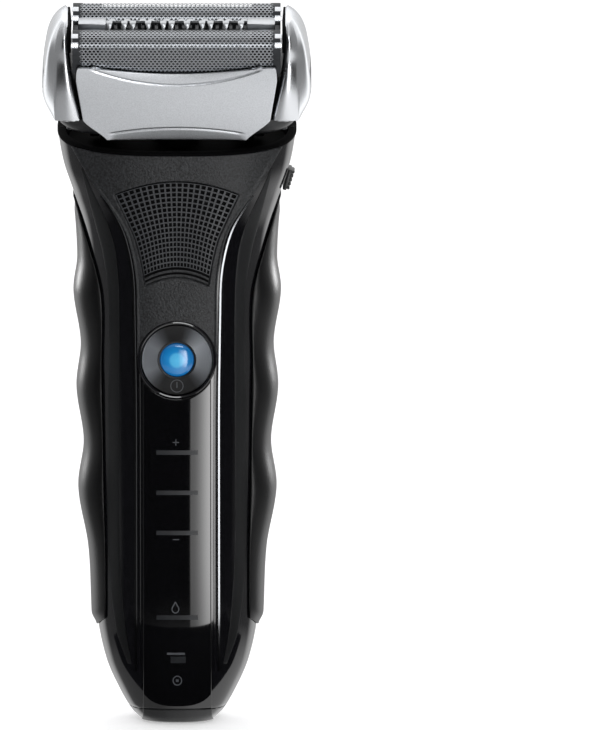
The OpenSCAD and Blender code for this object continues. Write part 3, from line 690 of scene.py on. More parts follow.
def panel_edge_x(z):
    """Half width of the thumb panel."""
    return curve(THUMB, 1, max(0.622, z / PIVOT_Z)) * half_w(z)


def panel_level(z, x):
    """How far the thumb panel stands out: a shallow dish for the thumb and a lip along its edge."""
    share = min(1.0, abs(x) / panel_edge_x(z))
    dish = 0.34 * ease((z - PANEL_Z0 - 12) / 12) * (1 - share * share) ** 2
    lip = 0.20 * ease((share - 0.945) / 0.03)
    return PANEL_OUT - dish + lip


def fan_place(x, z):
    """Where a point of the panel lies in the fan: p across and q up it."""
    lo, hi = -0.1, 1.1
    for _ in range(9):
        q = (lo + hi) / 2
        inside = min(1.0, max(0.0, q))
        p = x / curve(FAN, 1, inside)
        height = PIVOT_Z + curve(FAN, 2, q) - curve(FAN, 3, inside) * p * p
        lo, hi = (q, hi) if height < z else (lo, q)
    return p, q


def fan_depth(x, z):
    """1 within the fan's recess, falling to 0 at its rim."""
    if not (98 < z < 128 and abs(x) < 15):
        return 0.0
    p, q = fan_place(x, z)
    rim = 0.35 / curve(FAN, 1, min(1.0, max(0.0, q)))
    return ease((1 + rim - abs(p)) / rim) * ease((q + 0.02) / 0.02) * ease((1.02 - q) / 0.02)


def beside_ring(x, side):
    """Height where a skin meets the button's ring: above it for side 1, below it for side -1."""
    r = RING_R + 0.06
    return BUTTON_Z + side * math.sqrt(max(0.0, r * r - x * x))


def thumb_panel():
    """Charcoal panel with its recessed fan of small cells, a near-black sheet in the cells as painted
    shade, and two low sweeps under it.
    """
    def place(u, v):
        z = mix(beside_ring(abs(2 * u - 1) * panel_edge_x(BUTTON_Z), 1), TOP_Z - 0.1, v)
        x = (2 * u - 1) * panel_edge_x(z)
        flat = front_point(z, x, PANEL_OUT)
        return front_point(z, x, panel_level(z, x) - 0.42 * fan_depth(x, flat[2]))
    fit_out(skin("thumb_panel_skin", 130, 210, place, 0.62, 0.08), "handle", CHARCOAL,
            ["thumb_panel"])
    # Near-black sheet just in front of the recessed fan: painted shade in the cells.
    fit_out(skin("thumb_panel_cell_shade", 50, 50, lambda u, v: fan_point(2 * u - 1, v, -0.36), 0.1),
            "handle", SHADE_BLACK)
    clear()
    bpy.ops.mesh.primitive_grid_add(x_subdivisions=FAN_COLUMNS, y_subdivisions=FAN_ROWS, size=2)
    ribs = named("thumb_panel_ribs")
    edit(ribs, lambda: (bpy.ops.mesh.inset(thickness=0.0145, use_individual=True),
                        bpy.ops.mesh.delete(type="FACE")))
    for v in ribs.data.vertices:
        put(v, fan_point(v.co.x, mix(0.105, 1.0, (v.co.y + 1) / 2), -0.02))
    # Ribs in the lighter charcoal: painted highlight.
    fit_out(thicken(outward(ribs), 0.32), "handle", RIB_PAINTED_HIGHLIGHT)
    sweeps = [skin("sweep", 40, 4, lambda u, v: fan_point(
        2 * u - 1, q + 0.026 * v, -0.10 + 0.10 * math.sin(math.pi * v)), 0.25)
              for q in (0.004, 0.052)]
    fit_out(join("thumb_panel_sweeps", sweeps), "handle", CHARCOAL)


def window_half(z):
    """Half width of the display window."""
    return min(0.80 * half_w(z), 7.55)


WINDOW_OUT = 0.75
MARK_OUT = WINDOW_OUT + 0.03


def display_window():
    """Gloss window below the button, its trim lines and the strip at the foot."""
    def place(u, v):
        s = 2 * u - 1
        z = mix(CAP_H + 0.5, beside_ring(abs(s) * window_half(BUTTON_Z), -1), v)
        return front_point(z, s * window_half(z), WINDOW_OUT)
    fit_out(skin("display_window_pane", 70, 150, place, 0.55, 0.16, 3), "handle", WINDOW,
            ["display_window"])

    def rail(inner, width, rise):
        """A fine bright trim line beside the window and up along the thumb panel."""
        def place(u, v):
            z = mix(CAP_H + 9, TOP_Z - 11, v)
            share = ease((z - BUTTON_Z + 15) / 30)
            x = mix(window_half(z) + 1.45, panel_edge_x(z) + 0.5, share) + inner + width * u
            return front_point(z, x, rise + 0.10 * width * u)
        return place
    for name, inner, width, rise, paint in (("window_rail", 0.1, 0.36, 0.42, TRIM),
                                            ("window_channel", -0.8, 0.28, 0.30, GLOSS)):
        fit_pair(skin(name + "_right", 3, 200, rail(inner, width, rise), 0.5), ON_HANDLE, paint)
    fit_out(skin("foot_strip", 40, 8, lambda u, v: front_point(
        mix(0.35, CAP_H + 0.3, v), mix(-7.6, 7.6, u), 0.55), 0.8, 0.2, 3), "handle", DARK)


def printed(ob, material=None):
    """Finishes a thin mark on the window."""
    fit_out(thicken(ob, 0.05), "handle", material or MARK)


def window_mark(name, x0, x1, z0, z1, material=None):
    """A thin printed patch on the window."""
    printed(sheet(name, 6, 3, lambda u, v: front_point(
        mix(z0, z1, v), mix(x0, x1, u), MARK_OUT)), material)


def loop_mark(name, outline, width):
    """A closed printed line on the window, through outline(t), t from 0 to 1."""
    def place(u, v):
        x, z = outline(u % 1.0)
        x2, z2 = outline((u + 0.001) % 1.0)
        dx, dz = x2 - x, z2 - z
        d = math.hypot(dx, dz) or 1
        k = (v - 0.5) * width / d
        return front_point(z + dx * k, x - dz * k, MARK_OUT)
    printed(sheet(name, 40, 1, place, weld=True))


def window_marks():
    """Dim level bars and plain symbols of the window."""
    for k, z in enumerate((62.6, 53.5, 44.4, 25.1)):
        window_mark(f"level_bar_{k + 1}", -4.6, 4.6, z - 0.5, z + 0.5, BAR)
    window_mark("plus_across", -0.95, 0.45, 64.81, 64.99)
    window_mark("plus_upright", -0.34, -0.16, 64.2, 65.6)
    window_mark("minus_across", -0.95, 0.45, 42.8, 42.98)

    def drop(t):
        a = 2 * math.pi * t
        point = 0.75 * max(0.0, math.sin(a)) ** 6
        return -0.4 + 0.75 * math.cos(a) * (1 - 0.5 * point), 27.0 + 0.85 * math.sin(a) + point
    loop_mark("drop_outline", drop, 0.24)
    window_mark("cassette_mark_top", -2.3, 1.7, 16.5, 17.0)
    window_mark("cassette_mark_body", -1.5, 1.9, 14.6, 16.1, BAR)
    loop_mark("clean_mark", lambda t: (
        0.95 * math.cos(2 * math.pi * t), 10.5 + 1.05 * math.sin(2 * math.pi * t)), 0.26)
    window_mark("clean_mark_core", -0.3, 0.3, 10.2, 10.8)


def on_button(x, y, z):
    """Turns a piece made round Z into the button's place; its height points out of the front."""
    return x, BUTTON_Y - z, BUTTON_Z + y


def power_button():
    """Button ring, turned face, domed lens with its collar, and the plain power symbol."""
    ring = turned("button_ring_bezel", [
        (RING_R - 0.75, -1.8), (RING_R, -1.8), (RING_R, 0.62), (RING_R - 0.12, 0.86),
        (RING_R - 0.34, 0.95), (RING_R - 0.58, 0.86), (RING_R - 0.72, 0.6), (RING_R - 0.75, -1.8)],
        128, on_button)
    fit_out(ring, "handle", GLOSS, ["button_ring"])
    r = RING_R - 0.9
    disc = turned("power_button_face", [
        (0.0, -0.25), (LENS_R + 0.15, -0.25), (LENS_R + 0.15, 0.24), (LENS_R + 0.4, 0.30),
        (5.4, 0.30), (r - 0.4, 0.44), (r - 0.12, 0.40), (r, 0.26), (r, -2.6), (0.0, -2.6)],
        128, on_button)
    fit_out(disc, "button", SPUN_PAINTED_SHEEN, ["power_button"])
    lens = turned("button_lens_dome", [
        (0.0, 0.92), (1.2, 0.87), (2.2, 0.74), (3.0, 0.55), (LENS_R - 0.25, 0.36), (LENS_R, 0.1),
        (LENS_R, -0.2), (0.0, -0.2)], 96, on_button)
    fit_out(lens, "button", LENS, ["button_lens"], 60)
    collar = turned("button_lens_collar", [
        (LENS_R + 0.02, 0.2), (LENS_R + 0.1, 0.42), (LENS_R + 0.34, 0.48), (LENS_R + 0.5, 0.3),
        (LENS_R + 0.02, 0.2)], 96, on_button)
    fit_out(collar, "button", DARK)
    mark = -5.85

    def face(rr):
        return 0.33 + 0.14 * max(0.0, rr - 5.4) / (r - 5.8)

    def arc(u, v):
        a = math.radians(360 * u)
        rr = mix(1.28, 1.45, v)
        x, y = rr * math.cos(a), mark + rr * math.sin(a)
        return on_button(x, y, face(math.hypot(x, y)))
    power = [thicken(sheet("power_arc", 40, 1, arc, weld=True), 0.06),
             thicken(sheet("power_bar", 1, 1, lambda u, v: on_button(
                 mix(-0.1, 0.1, u), mark + mix(-0.85, 0.85, v), face(-mark))), 0.06)]
    fit_out(join("power_mark", power), "button", MARK)


def end_cap():
    """Foot with the inlet's recess, as one run of rings from the rim down and up into it."""
    rings = [(CAP_H, 0.0), (2.2, 0.0), (0.9, 0.0), (0.3, -0.05), (0.0, -0.35)]
    recess = [(0.0, 4.5, 3.0), (0.25, 4.3, 2.8), (8.0, 4.3, 2.8), (8.0, 0.02, 0.02)]

    def place(u, v):
        k = round(v * (len(rings) + len(recess) - 1))
        a = 360 * u
        if k < len(rings):
            return handle_point(rings[k][0], a, rings[k][1])
        z, hx, hy = recess[k - len(rings)]
        c, s = math.cos(math.radians(a)), math.sin(math.radians(a))
        return hx * power_of(c, 12), hy * power_of(s, 12), z
    cap = sheet("end_cap_moulding", 120, len(rings) + len(recess) - 1, place, weld=True)
    fit_out(cap, "handle", GLOSS, ["end_cap"])


# ---- Head ----
HEAD_GAP = 2.8
PANEL_Y = 10.95
PANEL_TOP = FOIL_TOP - 6.5
# Rows of: height, inner x, crease x, outer x, front y, crease y, side y of a side cap.
CAP_ROWS = [
    (7.0, 21.0, 27.0, 28.1, 11.0, 10.5, 5.4), (8.6, 21.3, 27.0, 29.2, 11.1, 10.6, 5.8),
    (11.0, 21.8, 26.9, 29.9, 11.0, 10.4, 6.2), (14.5, 22.6, 26.8, 29.8, 10.6, 9.9, 6.2),
    (18.0, 23.2, 26.7, 29.35, 9.6, 8.9, 5.9), (20.4, 23.5, 26.6, 29.0, 8.5, 7.8, 5.7),
    (22.6, 23.75, 26.7, 28.6, 8.3, 7.3, 5.3), (24.6, 23.9, 26.8, 28.0, 8.0, 6.5, 4.3),
    (26.6, 24.0, 26.3, 27.1, 6.8, 5.2, 3.2), (28.0, 24.05, 25.5, 26.0, 4.7, 3.6, 2.4),
    (28.6, 24.1, 24.9, 25.2, 3.4, 2.6, 1.7),
]


def side_caps():
    """Bright side caps of the head, with their pockets for the push pads."""
    def ring(row):
        z, x0, xc, x1, yf, yc, ys = row
        half = [(x0, yf - 1.2), (x0 + 0.35, yf - 0.1), (mix(x0, xc, 0.5), yf + 0.12), (xc, yc),
                (mix(xc, x1, 0.62), mix(yc, ys, 0.55)), (x1, ys), (x1 + 0.05, ys * 0.4)]
        front = [(x, -y) for x, y in half]
        rear = [(x, y) for x, y in reversed(half)]
        return [(x, y, z) for x, y in front + rear]
    rings = [ring(r) for r in CAP_ROWS]
    n, m = len(rings[0]), len(rings)
    right = sheet("side_cap_right_cover", n, m - 1,
                  lambda u, v: rings[round(v * (m - 1))][round(u * n) % n], weld=True, fill=True)
    crease_edges(right, rings, {0: 0.9, 3: 0.6, n - 4: 0.6, n - 1: 0.9})
    apply(right, "SUBSURF", levels=3, render_levels=3)
    cut_with(right, block("pocket", (HEAD_HALF - 5.4, HEAD_HALF + 3), (-5.3, 5.3), (7.4, 16.9), 0.3))
    fit_pair(to_head(right), ON_HEAD, BRIGHT, ["side_cap_right", "side_cap_left"], 50)


def cap_shade_sheets():
    """Near-black sheets on the caps' inner faces, beside the ends of the foils: painted shade in the
    gaps there.
    """
    def place(u, v):
        z = mix(22.5, 27.6, v)
        reach = curve(CAP_ROWS, 4, z) - 0.8
        return curve(CAP_ROWS, 1, z) - 0.15, mix(-reach, reach, u), z
    right = bevelled(thicken(sheet("cap_lining_right", 24, 16, place), 0.5, 0.0), 0.12)
    fit_pair(to_head(right), ON_HEAD, SHADE_BLACK)


def crease_edges(ob, rings, columns):
    """Keeps the cap's upright edges and its foot sharp under subdivision."""
    mesh = ob.data
    place = {}
    for k, ring in enumerate(rings):
        for i, p in enumerate(ring):
            place[tuple(round(c, 2) for c in p)] = (k, i)
    keys = [place.get(tuple(round(c / MM, 2) for c in v.co)) for v in mesh.vertices]
    crease = mesh.attributes.new("crease_edge", "FLOAT", "EDGE")
    for e in mesh.edges:
        a, b = keys[e.vertices[0]], keys[e.vertices[1]]
        if a is None or b is None:
            continue
        if a[1] == b[1] and a[1] in columns:
            crease.data[e.index].value = columns[a[1]]
        elif a[0] == b[0] and (a[0] == 0 or {a[1], b[1]} == {0, len(rings[0]) - 1}):
            crease.data[e.index].value = 0.9


def cut_with(ob, tool):
    """Takes the tool's shape out of a piece."""
    clear()
    apply(ob, "BOOLEAN", object=tool, operation="DIFFERENCE", solver="EXACT")
    bpy.data.objects.remove(tool, do_unlink=True)
    return ob


def crescent_upper(x):
    """Height of the upper crescent line on the front panel."""
    return 16.9 + 3.5 * (x / 18.2) ** 2


def crescent_lower(x):
    """Height of the lower crescent line on the front panel."""
    return 6.0 - 1.5 * (x / 14.6) ** 2


def panel_edge(z):
    """Half width of the front panel at a height on the head."""
    if z < HEAD_GAP + 5:
        return mix(15.4, 20.7, ease((z - HEAD_GAP) / 5) * 0.35 + (z - HEAD_GAP) / 5 * 0.65)
    return mix(20.7, 22.65, (z - HEAD_GAP - 5) / (PANEL_TOP - HEAD_GAP - 5))


def panel_top(x):
    """Top edge of the front panel: dipped in the middle and rounded at its corners."""
    return 20.95 - 1.5 * max(0.0, 1 - (x / 20.8) ** 2) ** 1.4 - 3.0 * max(0.0, abs(x) - 21.6) ** 2


def panel_point(x, z):
    """Front panel: a gentle crown, a lip over the upper crescent and one under the lower."""
    rise = math.sin(math.pi * min(1, max(0, (z - HEAD_GAP) / 18.2)))
    bulge = 0.5 * (1 - (x / 24) ** 2) * rise ** 0.7
    y = -PANEL_Y - 0.75 - bulge
    over = z - crescent_upper(x)
    fade = ease((19.4 - abs(x)) / 2)
    y += 0.22 * fade * math.exp(-(over / 0.20) ** 2)
    if over > 0:
        y += fade * (0.02 * over + 0.045 * over * over)
    under = crescent_lower(x) - z
    fade = ease((15.4 - abs(x)) / 2)
    y += 0.16 * fade * math.exp(-(under / 0.20) ** 2)
    if under > 0:
        y += fade * 0.10 * under
    return x, y, z


def cassette_panels():
    """Silver covers at the front and back of the cassette."""
    def place(u, v):
        s = 2 * u - 1
        z = mix(HEAD_GAP, panel_top(s * panel_edge(mix(HEAD_GAP, PANEL_TOP, v))), v)
        return panel_point(s * panel_edge(z), z)
    front = skin("cassette_front_cover", 220, 120, place, 0.9, 0.22)
    rear = twin_of(front, "cassette_rear_cover")
    for v in rear.data.vertices:
        v.co.y = -v.co.y
    outward(rear)
    for ob, side in ((front, "front"), (rear, "rear")):
        fit_out(to_head(ob), "cassette", SILVER, [f"cassette_{side}_panel"], 35)


# Height of the cutters' foot on the head; the foils' holes, rows and straight sides.
CUTTER_FOOT = FOIL_TOP - 12.1
HOLE_PITCH = 0.90
ROW_PITCH = 0.60
FOIL_HOLES_X = 21.0
FOIL_SKIRT = 4
WELD = 2e-5


def foil(name, y_mid, body, nodes):
    """One foil: a perforated strip bent over its arch, plain at both ends and at both feet."""
    around = math.pi * FOIL_R + 2 * FOIL_SKIRT
    rows = int(round(around * 0.96 / ROW_PITCH / 2)) * 2
    columns = int(round(2 * FOIL_HOLES_X / HOLE_PITCH))
    clear()
    bpy.ops.mesh.primitive_circle_add(vertices=6, radius=1.0, fill_type="NGON")
    strip = named(name)
    edit(strip, lambda: (bpy.ops.mesh.inset(thickness=0.30), bpy.ops.mesh.delete(type="FACE")))
    # two staggered cells, then the whole field
    sx, sz = HOLE_PITCH / math.sqrt(3), ROW_PITCH / 1.5
    for v in strip.data.vertices:
        v.co = (v.co.y * sx * MM, v.co.x * sz * MM, 0)
    second = twin_of(strip, name + "_second")
    for v in second.data.vertices:
        v.co.x += HOLE_PITCH / 2 * MM
        v.co.y += ROW_PITCH * MM
    strip = join(name, [strip, second])
    for count, step in ((columns, (HOLE_PITCH, 0)), (rows // 2, (0, 2 * ROW_PITCH))):
        apply(strip, "ARRAY", count=count, use_relative_offset=False, use_constant_offset=True,
              constant_offset_displace=(step[0] * MM, step[1] * MM, 0), use_merge_vertices=True,
              merge_threshold=WELD)
    edit(strip, lambda: bpy.ops.mesh.remove_doubles(threshold=WELD))
    left = -(columns - 0.5) * HOLE_PITCH / 2
    start = -(rows - 1) * ROW_PITCH / 2

    def bend(x, s, lift):
        """s runs over the arch from front foot to rear foot, 0 at the crown."""
        r = FOIL_R + lift
        quarter = math.pi / 2 * FOIL_R
        if abs(s) <= quarter:
            a = s / FOIL_R
            return on_head(x, y_mid + r * math.sin(a), ARCH_Z + r * math.cos(a))
        side = math.copysign(1, s)
        return on_head(x, y_mid + side * r, ARCH_Z - (abs(s) - quarter))
    for v in strip.data.vertices:
        put(v, bend(v.co.x / MM + left, v.co.y / MM + start, 0))
    edge = FOIL_HOLES_X - 0.15
    half = around / 2
    reach = rows * ROW_PITCH / 2 - 0.15
    borders = [sheet("border", nu, nv, lambda u, v: bend(mix(x0, x1, u), mix(s0, s1, v), 0.0))
               for nu, nv, x0, x1, s0, s1 in (
                   (4, 60, -FOIL_X, -edge, -half, half), (4, 60, edge, FOIL_X, -half, half),
                   (60, 4, -edge, edge, -half, -reach), (60, 4, -edge, edge, reach, half))]
    outward(strip)
    fit_out(strip, body, FOIL, nodes, 60)
    # Plain borders in the darkened foil-edge steel: painted shade.
    frame_edges = join(name + "_edges", borders)
    fit_out(outward(frame_edges), body, EDGE, (), 60)
    tabs = []
    for s_mid in (-1.45, -3.70):
        for side in (-1, 1):
            x0, x1 = sorted((side * (FOIL_X + 0.25), side * (FOIL_X - 1.25)))
            tabs.append(sheet("tab", 3, 6, lambda u, v: bend(
                mix(x0, x1, u), mix(s_mid - 0.62, s_mid + 0.62, v), 0.12)))
    # Near-black sheets under the holes towards both ends: painted shade seen through the foil.
    hole_shade_sheets = [sheet("liner", 4, 60, lambda u, v: bend(
        side * mix(16.6, 21.6, u), mix(-half, half, v), -0.22)) for side in (-1, 1)]
    fit_out(outward(join(name + "_liners", hole_shade_sheets)), body, SHADE_BLACK)
    fit_out(thicken(join(name + "_clips", tabs), 0.12), body, BRIGHT)


def foils():
    """Front and rear foil."""
    for side, y_mid in (("front", -FOIL_Y), ("rear", FOIL_Y)):
        foil(f"foil_{side}_mesh", y_mid, side + "_foil", [f"foil_{side}"])


TOOTH_PATH = [(0.0, 0.0), (0.55, 0.06), (1.0, -0.10), (1.35, -0.45), (1.62, -0.95), (1.85, -1.6)]


def cutters():
    """Blocks of fine round fins that run under the foils."""
    reach, pitch = 17.4, 0.97
    profile = [(0.0, -reach)]
    for k in range(int(2 * reach / pitch)):
        x = -reach + k * pitch
        profile += [(3.3, x), (3.84, x + 0.02), (3.84, x + 0.34), (3.3, x + 0.36)]
    profile += [(3.3, reach), (0.0, reach)]
    for side, y_mid in (("front", -FOIL_Y), ("rear", FOIL_Y)):
        name = f"cutter_{side}_fins"
        barrel = turned(name, profile, 40, lambda x, y, z: on_head(z, y_mid + x, ARCH_Z + y))
        foot = block("foot", (-reach, reach), (y_mid - 2.6, y_mid + 2.6), (CUTTER_FOOT, ARCH_Z),
                     0.2, 2, on_head)
        # The fins take the darkened cutter steel: painted shade under the foils.
        fit_out(outward(join(name, [barrel, foot])), side + "_cutter", CUTTER_SHADE_STEEL,
                ["cutter_" + side], 50)


def tooth(x, side, top, reach=1.0):
    """One trimmer tooth: broad at the ridge, curling over the side to a rounded point."""
    def place(u, v):
        k = v * (len(TOOTH_PATH) - 1)
        i = min(len(TOOTH_PATH) - 2, int(k))
        y = mix(TOOTH_PATH[i][0], TOOTH_PATH[i + 1][0], k - i)
        z = mix(TOOTH_PATH[i][1], TOOTH_PATH[i + 1][1], k - i)
        w = mix(0.72, 0.10, v ** 1.8)
        crown = 0.10 * (1 - (2 * u - 1) ** 2)
        return x + (2 * u - 1) * w, side * y, top + z * reach + crown
    return thicken(outward(sheet("tooth", 6, 10, place)), 0.3)


def middle_trimmer():
    """Comb with pointed teeth that curl over both sides in turn, and plain bars at both ends."""
    z1 = FOIL_TOP - 0.6
    core = block("core", (-FOIL_X, FOIL_X), (-1.2, 1.2), (ARCH_Z - 3.4, z1 - 1.6), 0.15)
    parts = []
    for side in (-1, 1):
        x0, x1 = sorted((side * 15.6, side * (FOIL_X - 1.2)))
        parts.append(block("bar", (x0, x1), (-1.5, 1.5), (z1 - 2.2, z1 + 0.1), 0.25))
        x0, x1 = sorted((side * 16.0, side * (FOIL_X - 0.9)))
        parts.append(block("sill", (x0, x1), (-1.95, -1.4), (z1 - 2.8, z1 - 1.6), 0.12))
    comb = join("middle_comb_body", [move(p, on_head) for p in parts])
    fit_out(comb, "middle_trimmer", TOOTH, ["middle_comb"])
    places = []
    for k in range(4):
        places += [-14.9 + 8.6 * k + step for step in (0.0, 3.35, 5.2)]
    teeth = [tooth(x, -1, z1) for x in places if x < 15]
    teeth += [tooth(-x, 1, z1, 0.4) for x in places if x < 15]
    spine = sheet("middle_comb_spine", 90, 4, lambda u, v: on_head(
        mix(-15.8, 15.8, u), mix(-0.3, 0.3, v), z1 - 0.25 + 0.06 * math.sin(math.pi * v)))
    # Spine and core in the darkened cutter steel: painted shade under the teeth.
    spine = join("middle_comb_spine", [thicken(outward(spine), 0.35), move(core, on_head)])
    fit_out(spine, "middle_trimmer", CUTTER_SHADE_STEEL)
    ridge = join("middle_comb_teeth", teeth)
    fit_out(to_head(ridge), "middle_trimmer", TOOTH, (), 50)


def head_base():
    """Dark base of the head under its caps, rounded below, with the two tilt lugs."""
    rows = [(HEAD_GAP, 22.6, 9.3), (HEAD_GAP + 0.15, 23.8, 9.7), (HEAD_GAP + 0.7, 25.2, 10.05),
            (HEAD_GAP + 1.6, 26.2, 10.3), (HEAD_GAP + 2.8, 26.8, 10.4),
            (HEAD_GAP + 4.1, 27.05, 10.4),
            (HEAD_GAP + 4.1, 20.6, 9.5), (HEAD_GAP + 1.6, 20.6, 9.4), (HEAD_GAP + 1.6, 4.2, 4.2),
            (HEAD_GAP, 4.2, 4.2), (HEAD_GAP, 22.6, 9.3)]

    def place(u, v):
        z, hx, hy = rows[round(v * (len(rows) - 1))]
        a = math.radians(360 * u)
        square = 2 if hx < 5 else 5
        return hx * power_of(math.cos(a), square), hy * power_of(math.sin(a), square), z
    base = sheet("head_base_body", 128, len(rows) - 1, place, weld=True)
    lugs = []
    for side in (-1, 1):
        x0, x1 = sorted((side * 17.3, side * 19.3))
        lugs.append(drum("lug", 2.4, x0, x1, 48, 0.15, lambda x, y, z: (z, x, y)))
        lugs.append(block("lug_root", (x0, x1), (-2.4, 2.4), (0, HEAD_GAP + 0.3), 0.1))
    base = to_head(join("head_base_body", [base] + lugs))
    fit_out(base, "head", DARK, ["head_frame"], 35)


def release_pads():
    """Push pads in the caps' flanks, ribbed for the finger and rounded into their pockets."""
    def place(u, v):
        y, z = mix(-5.0, 5.0, u), mix(7.7, 16.7, v)
        ends = ease(u / 0.06) * ease((1 - u) / 0.06) * ease(v / 0.08) * ease((1 - v) / 0.08)
        ribs = 0.22 * abs(math.sin(math.pi * (z - 7.7) / 1.3))
        return curve(CAP_ROWS, 3, z) - 1.1 + ends * (0.75 + ribs), y, z
    fit_pair(to_head(skin("release_pad_right", 30, 90, place, 0.8)), ["release_right", "release_left"],
             PAD, ["release_button_right", "release_button_left"])


def head_lock():
    """Ribbed slider on the right flank that locks the head."""
    tilt_x, _, tilt_z = JOINTS["head_lock_slide"]["axis"]
    base_z = PIVOT_Z - 12.8
    base_x = half_w(base_z) + 0.35

    def place(x, y, z):
        return base_x + x * tilt_z + z * tilt_x, y, base_z - x * tilt_x + z * tilt_z
    parts = [block("slider", (0, 0.85), (-3.4, 3.4), (-1.1, 3.7), 0.25)]
    for k in range(5):
        z = -0.55 + 0.95 * k
        parts.append(block("rib", (0.6, 1.5), (-2.7, 2.7), (z - 0.26, z + 0.26), 0.15))
    slider = move(join("head_lock_slider", parts), place)
    fit_out(slider, "lock", DARK, ["head_lock_switch"])


def hair_trimmer():
    """Pop-up trimmer on the back: a guide and a ribbed sliding housing."""
    x1, y1, z1 = (high("trimmer_slider", k) for k in range(3))
    x0, y0, z0 = (low("trimmer_slider", k) for k in range(3))
    gx, gz0, gz1 = high("trimmer_guide", 0), low("trimmer_guide", 2), high("trimmer_guide", 2)
    gy = low("trimmer_slider", 1) - 1.5
    guide = [block("plate", (-gx, gx), (gy, gy + 1.2), (gz0, gz1), 0.3, 3)]
    for side in (-1, 1):
        a, b = sorted((side * (x1 + 0.3), side * gx))
        guide.append(block("rail", (a, b), (gy, y1 - 0.3), (gz0, gz1), 0.5, 3))
    guide.append(block("root", (0.8 - gx, gx - 0.8), (12.2, gy + 0.3), (gz0 + 0.5, gz1 - 0.5),
                       0.8, 3))
    fit_out(join("trimmer_guide_rails", guide), "handle", GLOSS, ["trimmer_guide"])
    body = [block("housing", (x0, x1), (y0, y1), (z0, z1 - 0.4), 0.7, 4)]
    throat = block("throat", (x0 + 1.5, x1 - 1.5), (y0 - 1, y1 - 1.2), (z1 - 6, z1 + 1), 0)
    cut_with(body[0], throat)
    for k in range(6):
        z = z0 + 5 + 1.7 * k
        body.append(block("rib", (-6 + 0.3 * k, 6 - 0.3 * k), (y1 - 0.15, y1 + 0.55),
                          (z - 0.45, z + 0.45), 0.3, 3))
    fit_out(join("trimmer_slider_housing", body), "hair_trimmer", DARK,
            ["trimmer_slider"])


def floor_and_card():
    """Pale floor, and a dark card in front of the foot that only gloss sees."""
    clear()
    bpy.ops.mesh.primitive_plane_add(size=12, location=(0, 0, 0))
    floor = named("studio_floor")
    m = bpy.data.materials.new("studio_floor")
    m.use_nodes = True
    for key, value in {"Base Color": (0.93, 0.93, 0.94, 1), "Roughness": 0.8,
                       "Specular IOR Level": 0.1, "Emission Color": (1, 1, 1, 1),
                       "Emission Strength": 0.42}.items():
        wire(m.node_tree.nodes["Principled BSDF"].inputs[key], value)
    floor.data.materials.append(m)
    floor.visible_glossy = False
    clear()
    bpy.ops.mesh.primitive_plane_add(size=1, location=(0, 0, 0))
    card = named("dark_card")
    for v in card.data.vertices:
        v.co = (v.co.x * 0.12, -0.045 + v.co.y * 0.06, 0.0005)
    card.data.materials.append(SHADE_BLACK)
    card.visible_camera = card.visible_diffuse = card.visible_shadow = False


def surroundings():
    """A white room that gloss sees as bright areas, each a product of eased steps by direction."""
    world = bpy.data.worlds.new("studio")
    bpy.context.scene.world = world
    world.use_nodes = True
    nt = world.node_tree
    nt.nodes.clear()
    x, y, z = xyz(nt, "Generated")
    across = maths(nt, "DIVIDE", x, y)
    # Each step: what it follows, from where to where it eases, and the values at both ends.
    behind = [(y, 0.10, 0.5, 0.012, 1.5), (y, 0.6, 0.95, 1.0, 0.45)]
    above = [(z, 0.30, 0.8, 0.0, 0.60)]
    below = [(z, -0.27, -0.50, 0.0, 1.0), (x, -0.25, 0.25, 0.42, 1.22)]
    right_wall = [(x, 0.66, 0.85, 0.0, 0.26), (y, -0.75, -0.5, 0.0, 1.0)]
    left_wall = [(x, -0.66, -0.85, 0.0, 0.26), (y, -0.75, -0.5, 0.0, 1.0)]
    tall_box = [(across, -0.065, -0.075, 0.0, 1.0), (across, -0.45, -0.37, 0.0, 1.0),
                (across, -0.08, -0.36, 1.6, 7.0), (y, -0.5, -0.7, 0.0, 1.0),
                (z, -0.60, -0.17, 0.0, 1.0), (z, 0.3, 0.1, 0.0, 1.0)]
    areas = []
    for steps in (behind, above, below, tall_box, left_wall, right_wall):
        areas.append(combined(nt, "MULTIPLY", [
            node(nt, "MapRange", "Result", {"interpolation_type": "SMOOTHSTEP"}, Value=value,
                 From_Min=a, From_Max=b, To_Min=lo, To_Max=hi) for value, a, b, lo, hi in steps]))
    strength = node(nt, "Mix", "Result", A=combined(nt, "MAXIMUM", areas), B=1.0,
                    Factor=node(nt, "LightPath", "Is Camera Ray"))
    light = node(nt, "Background", Color=(1.0, 1.0, 1.0, 1), Strength=strength)
    wire(nt.nodes.new("ShaderNodeOutputWorld").inputs["Surface"], light)


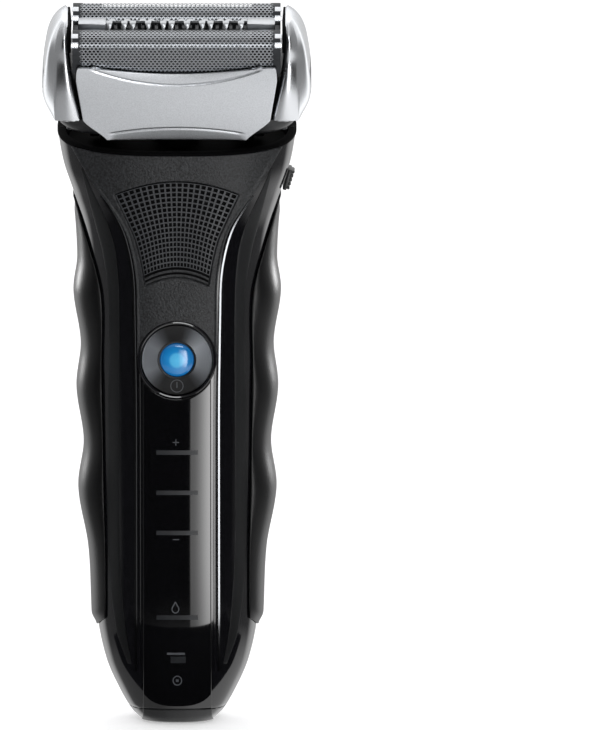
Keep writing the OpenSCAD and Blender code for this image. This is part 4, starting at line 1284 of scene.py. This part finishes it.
def soft_box(name, place, size, power, shade=(1, 1, 1), height=0.1):
    """A soft light that looks at the middle of the shaver."""
    data = bpy.data.lights.new(name, "AREA")
    data.shape = "RECTANGLE"
    data.size, data.size_y = size
    data.energy = power
    data.color = shade
    ob = bpy.data.objects.new(name, data)
    bpy.context.collection.objects.link(ob)
    ob.location = place
    ob.rotation_euler = (Vector((0, 0, height)) - Vector(place)).to_track_quat("-Z", "Y").to_euler()
    return ob


def lights():
    """Rim lights for the dark pieces only, a light above and one in front."""
    for name, side in (("left_rim", -1), ("right_rim", 1)):
        rim = soft_box(name, (0.50 * side, 0.32, 0.30), (0.25, 0.5), 6.5, height=0.08)
        rim.light_linking.receiver_collection = RIM_LIT
    soft_box("overhead", (0.0, 0.05, 0.75), (0.9, 0.5), 0.9)
    soft_box("front_fill", (0.15, -1.1, 0.75), (0.5, 0.3), 2.6, (0.97, 0.985, 1.0))


# Camera: distance, height of the view at that distance, lift above level and aim point.
REACH = 4.0
VIEW_HEIGHT = 0.1625
SENSOR = 24
LIFT = math.radians(10)
AIM = Vector((26.2 * MM, 0, 80.0 * MM))


def camera():
    """Front view from a little above, with the shaver on the left of the picture."""
    data = bpy.data.cameras.new("studio_camera")
    data.sensor_fit = "VERTICAL"
    data.sensor_height = SENSOR
    data.lens = SENSOR * REACH / VIEW_HEIGHT
    data.clip_end = 50
    ob = bpy.data.objects.new("studio_camera", data)
    bpy.context.collection.objects.link(ob)
    ob.location = AIM + Vector((0, -math.cos(LIFT), math.sin(LIFT))) * REACH
    ob.rotation_euler = (AIM - ob.location).to_track_quat("-Z", "Y").to_euler()
    bpy.context.scene.camera = ob


RIM_LIT = bpy.data.collections.new("rim_lit")
camera()
floor_and_card()
surroundings()
lights()
bpy.context.scene.view_settings.view_transform = "Standard"
for build in (shells, neck_shade_sheet, grips, bands, thumb_panel, display_window, window_marks,
              power_button, end_cap, side_caps, cap_shade_sheets, cassette_panels, foils, cutters,
              middle_trimmer, head_base, release_pads, head_lock, hair_trimmer, clear):
    build()
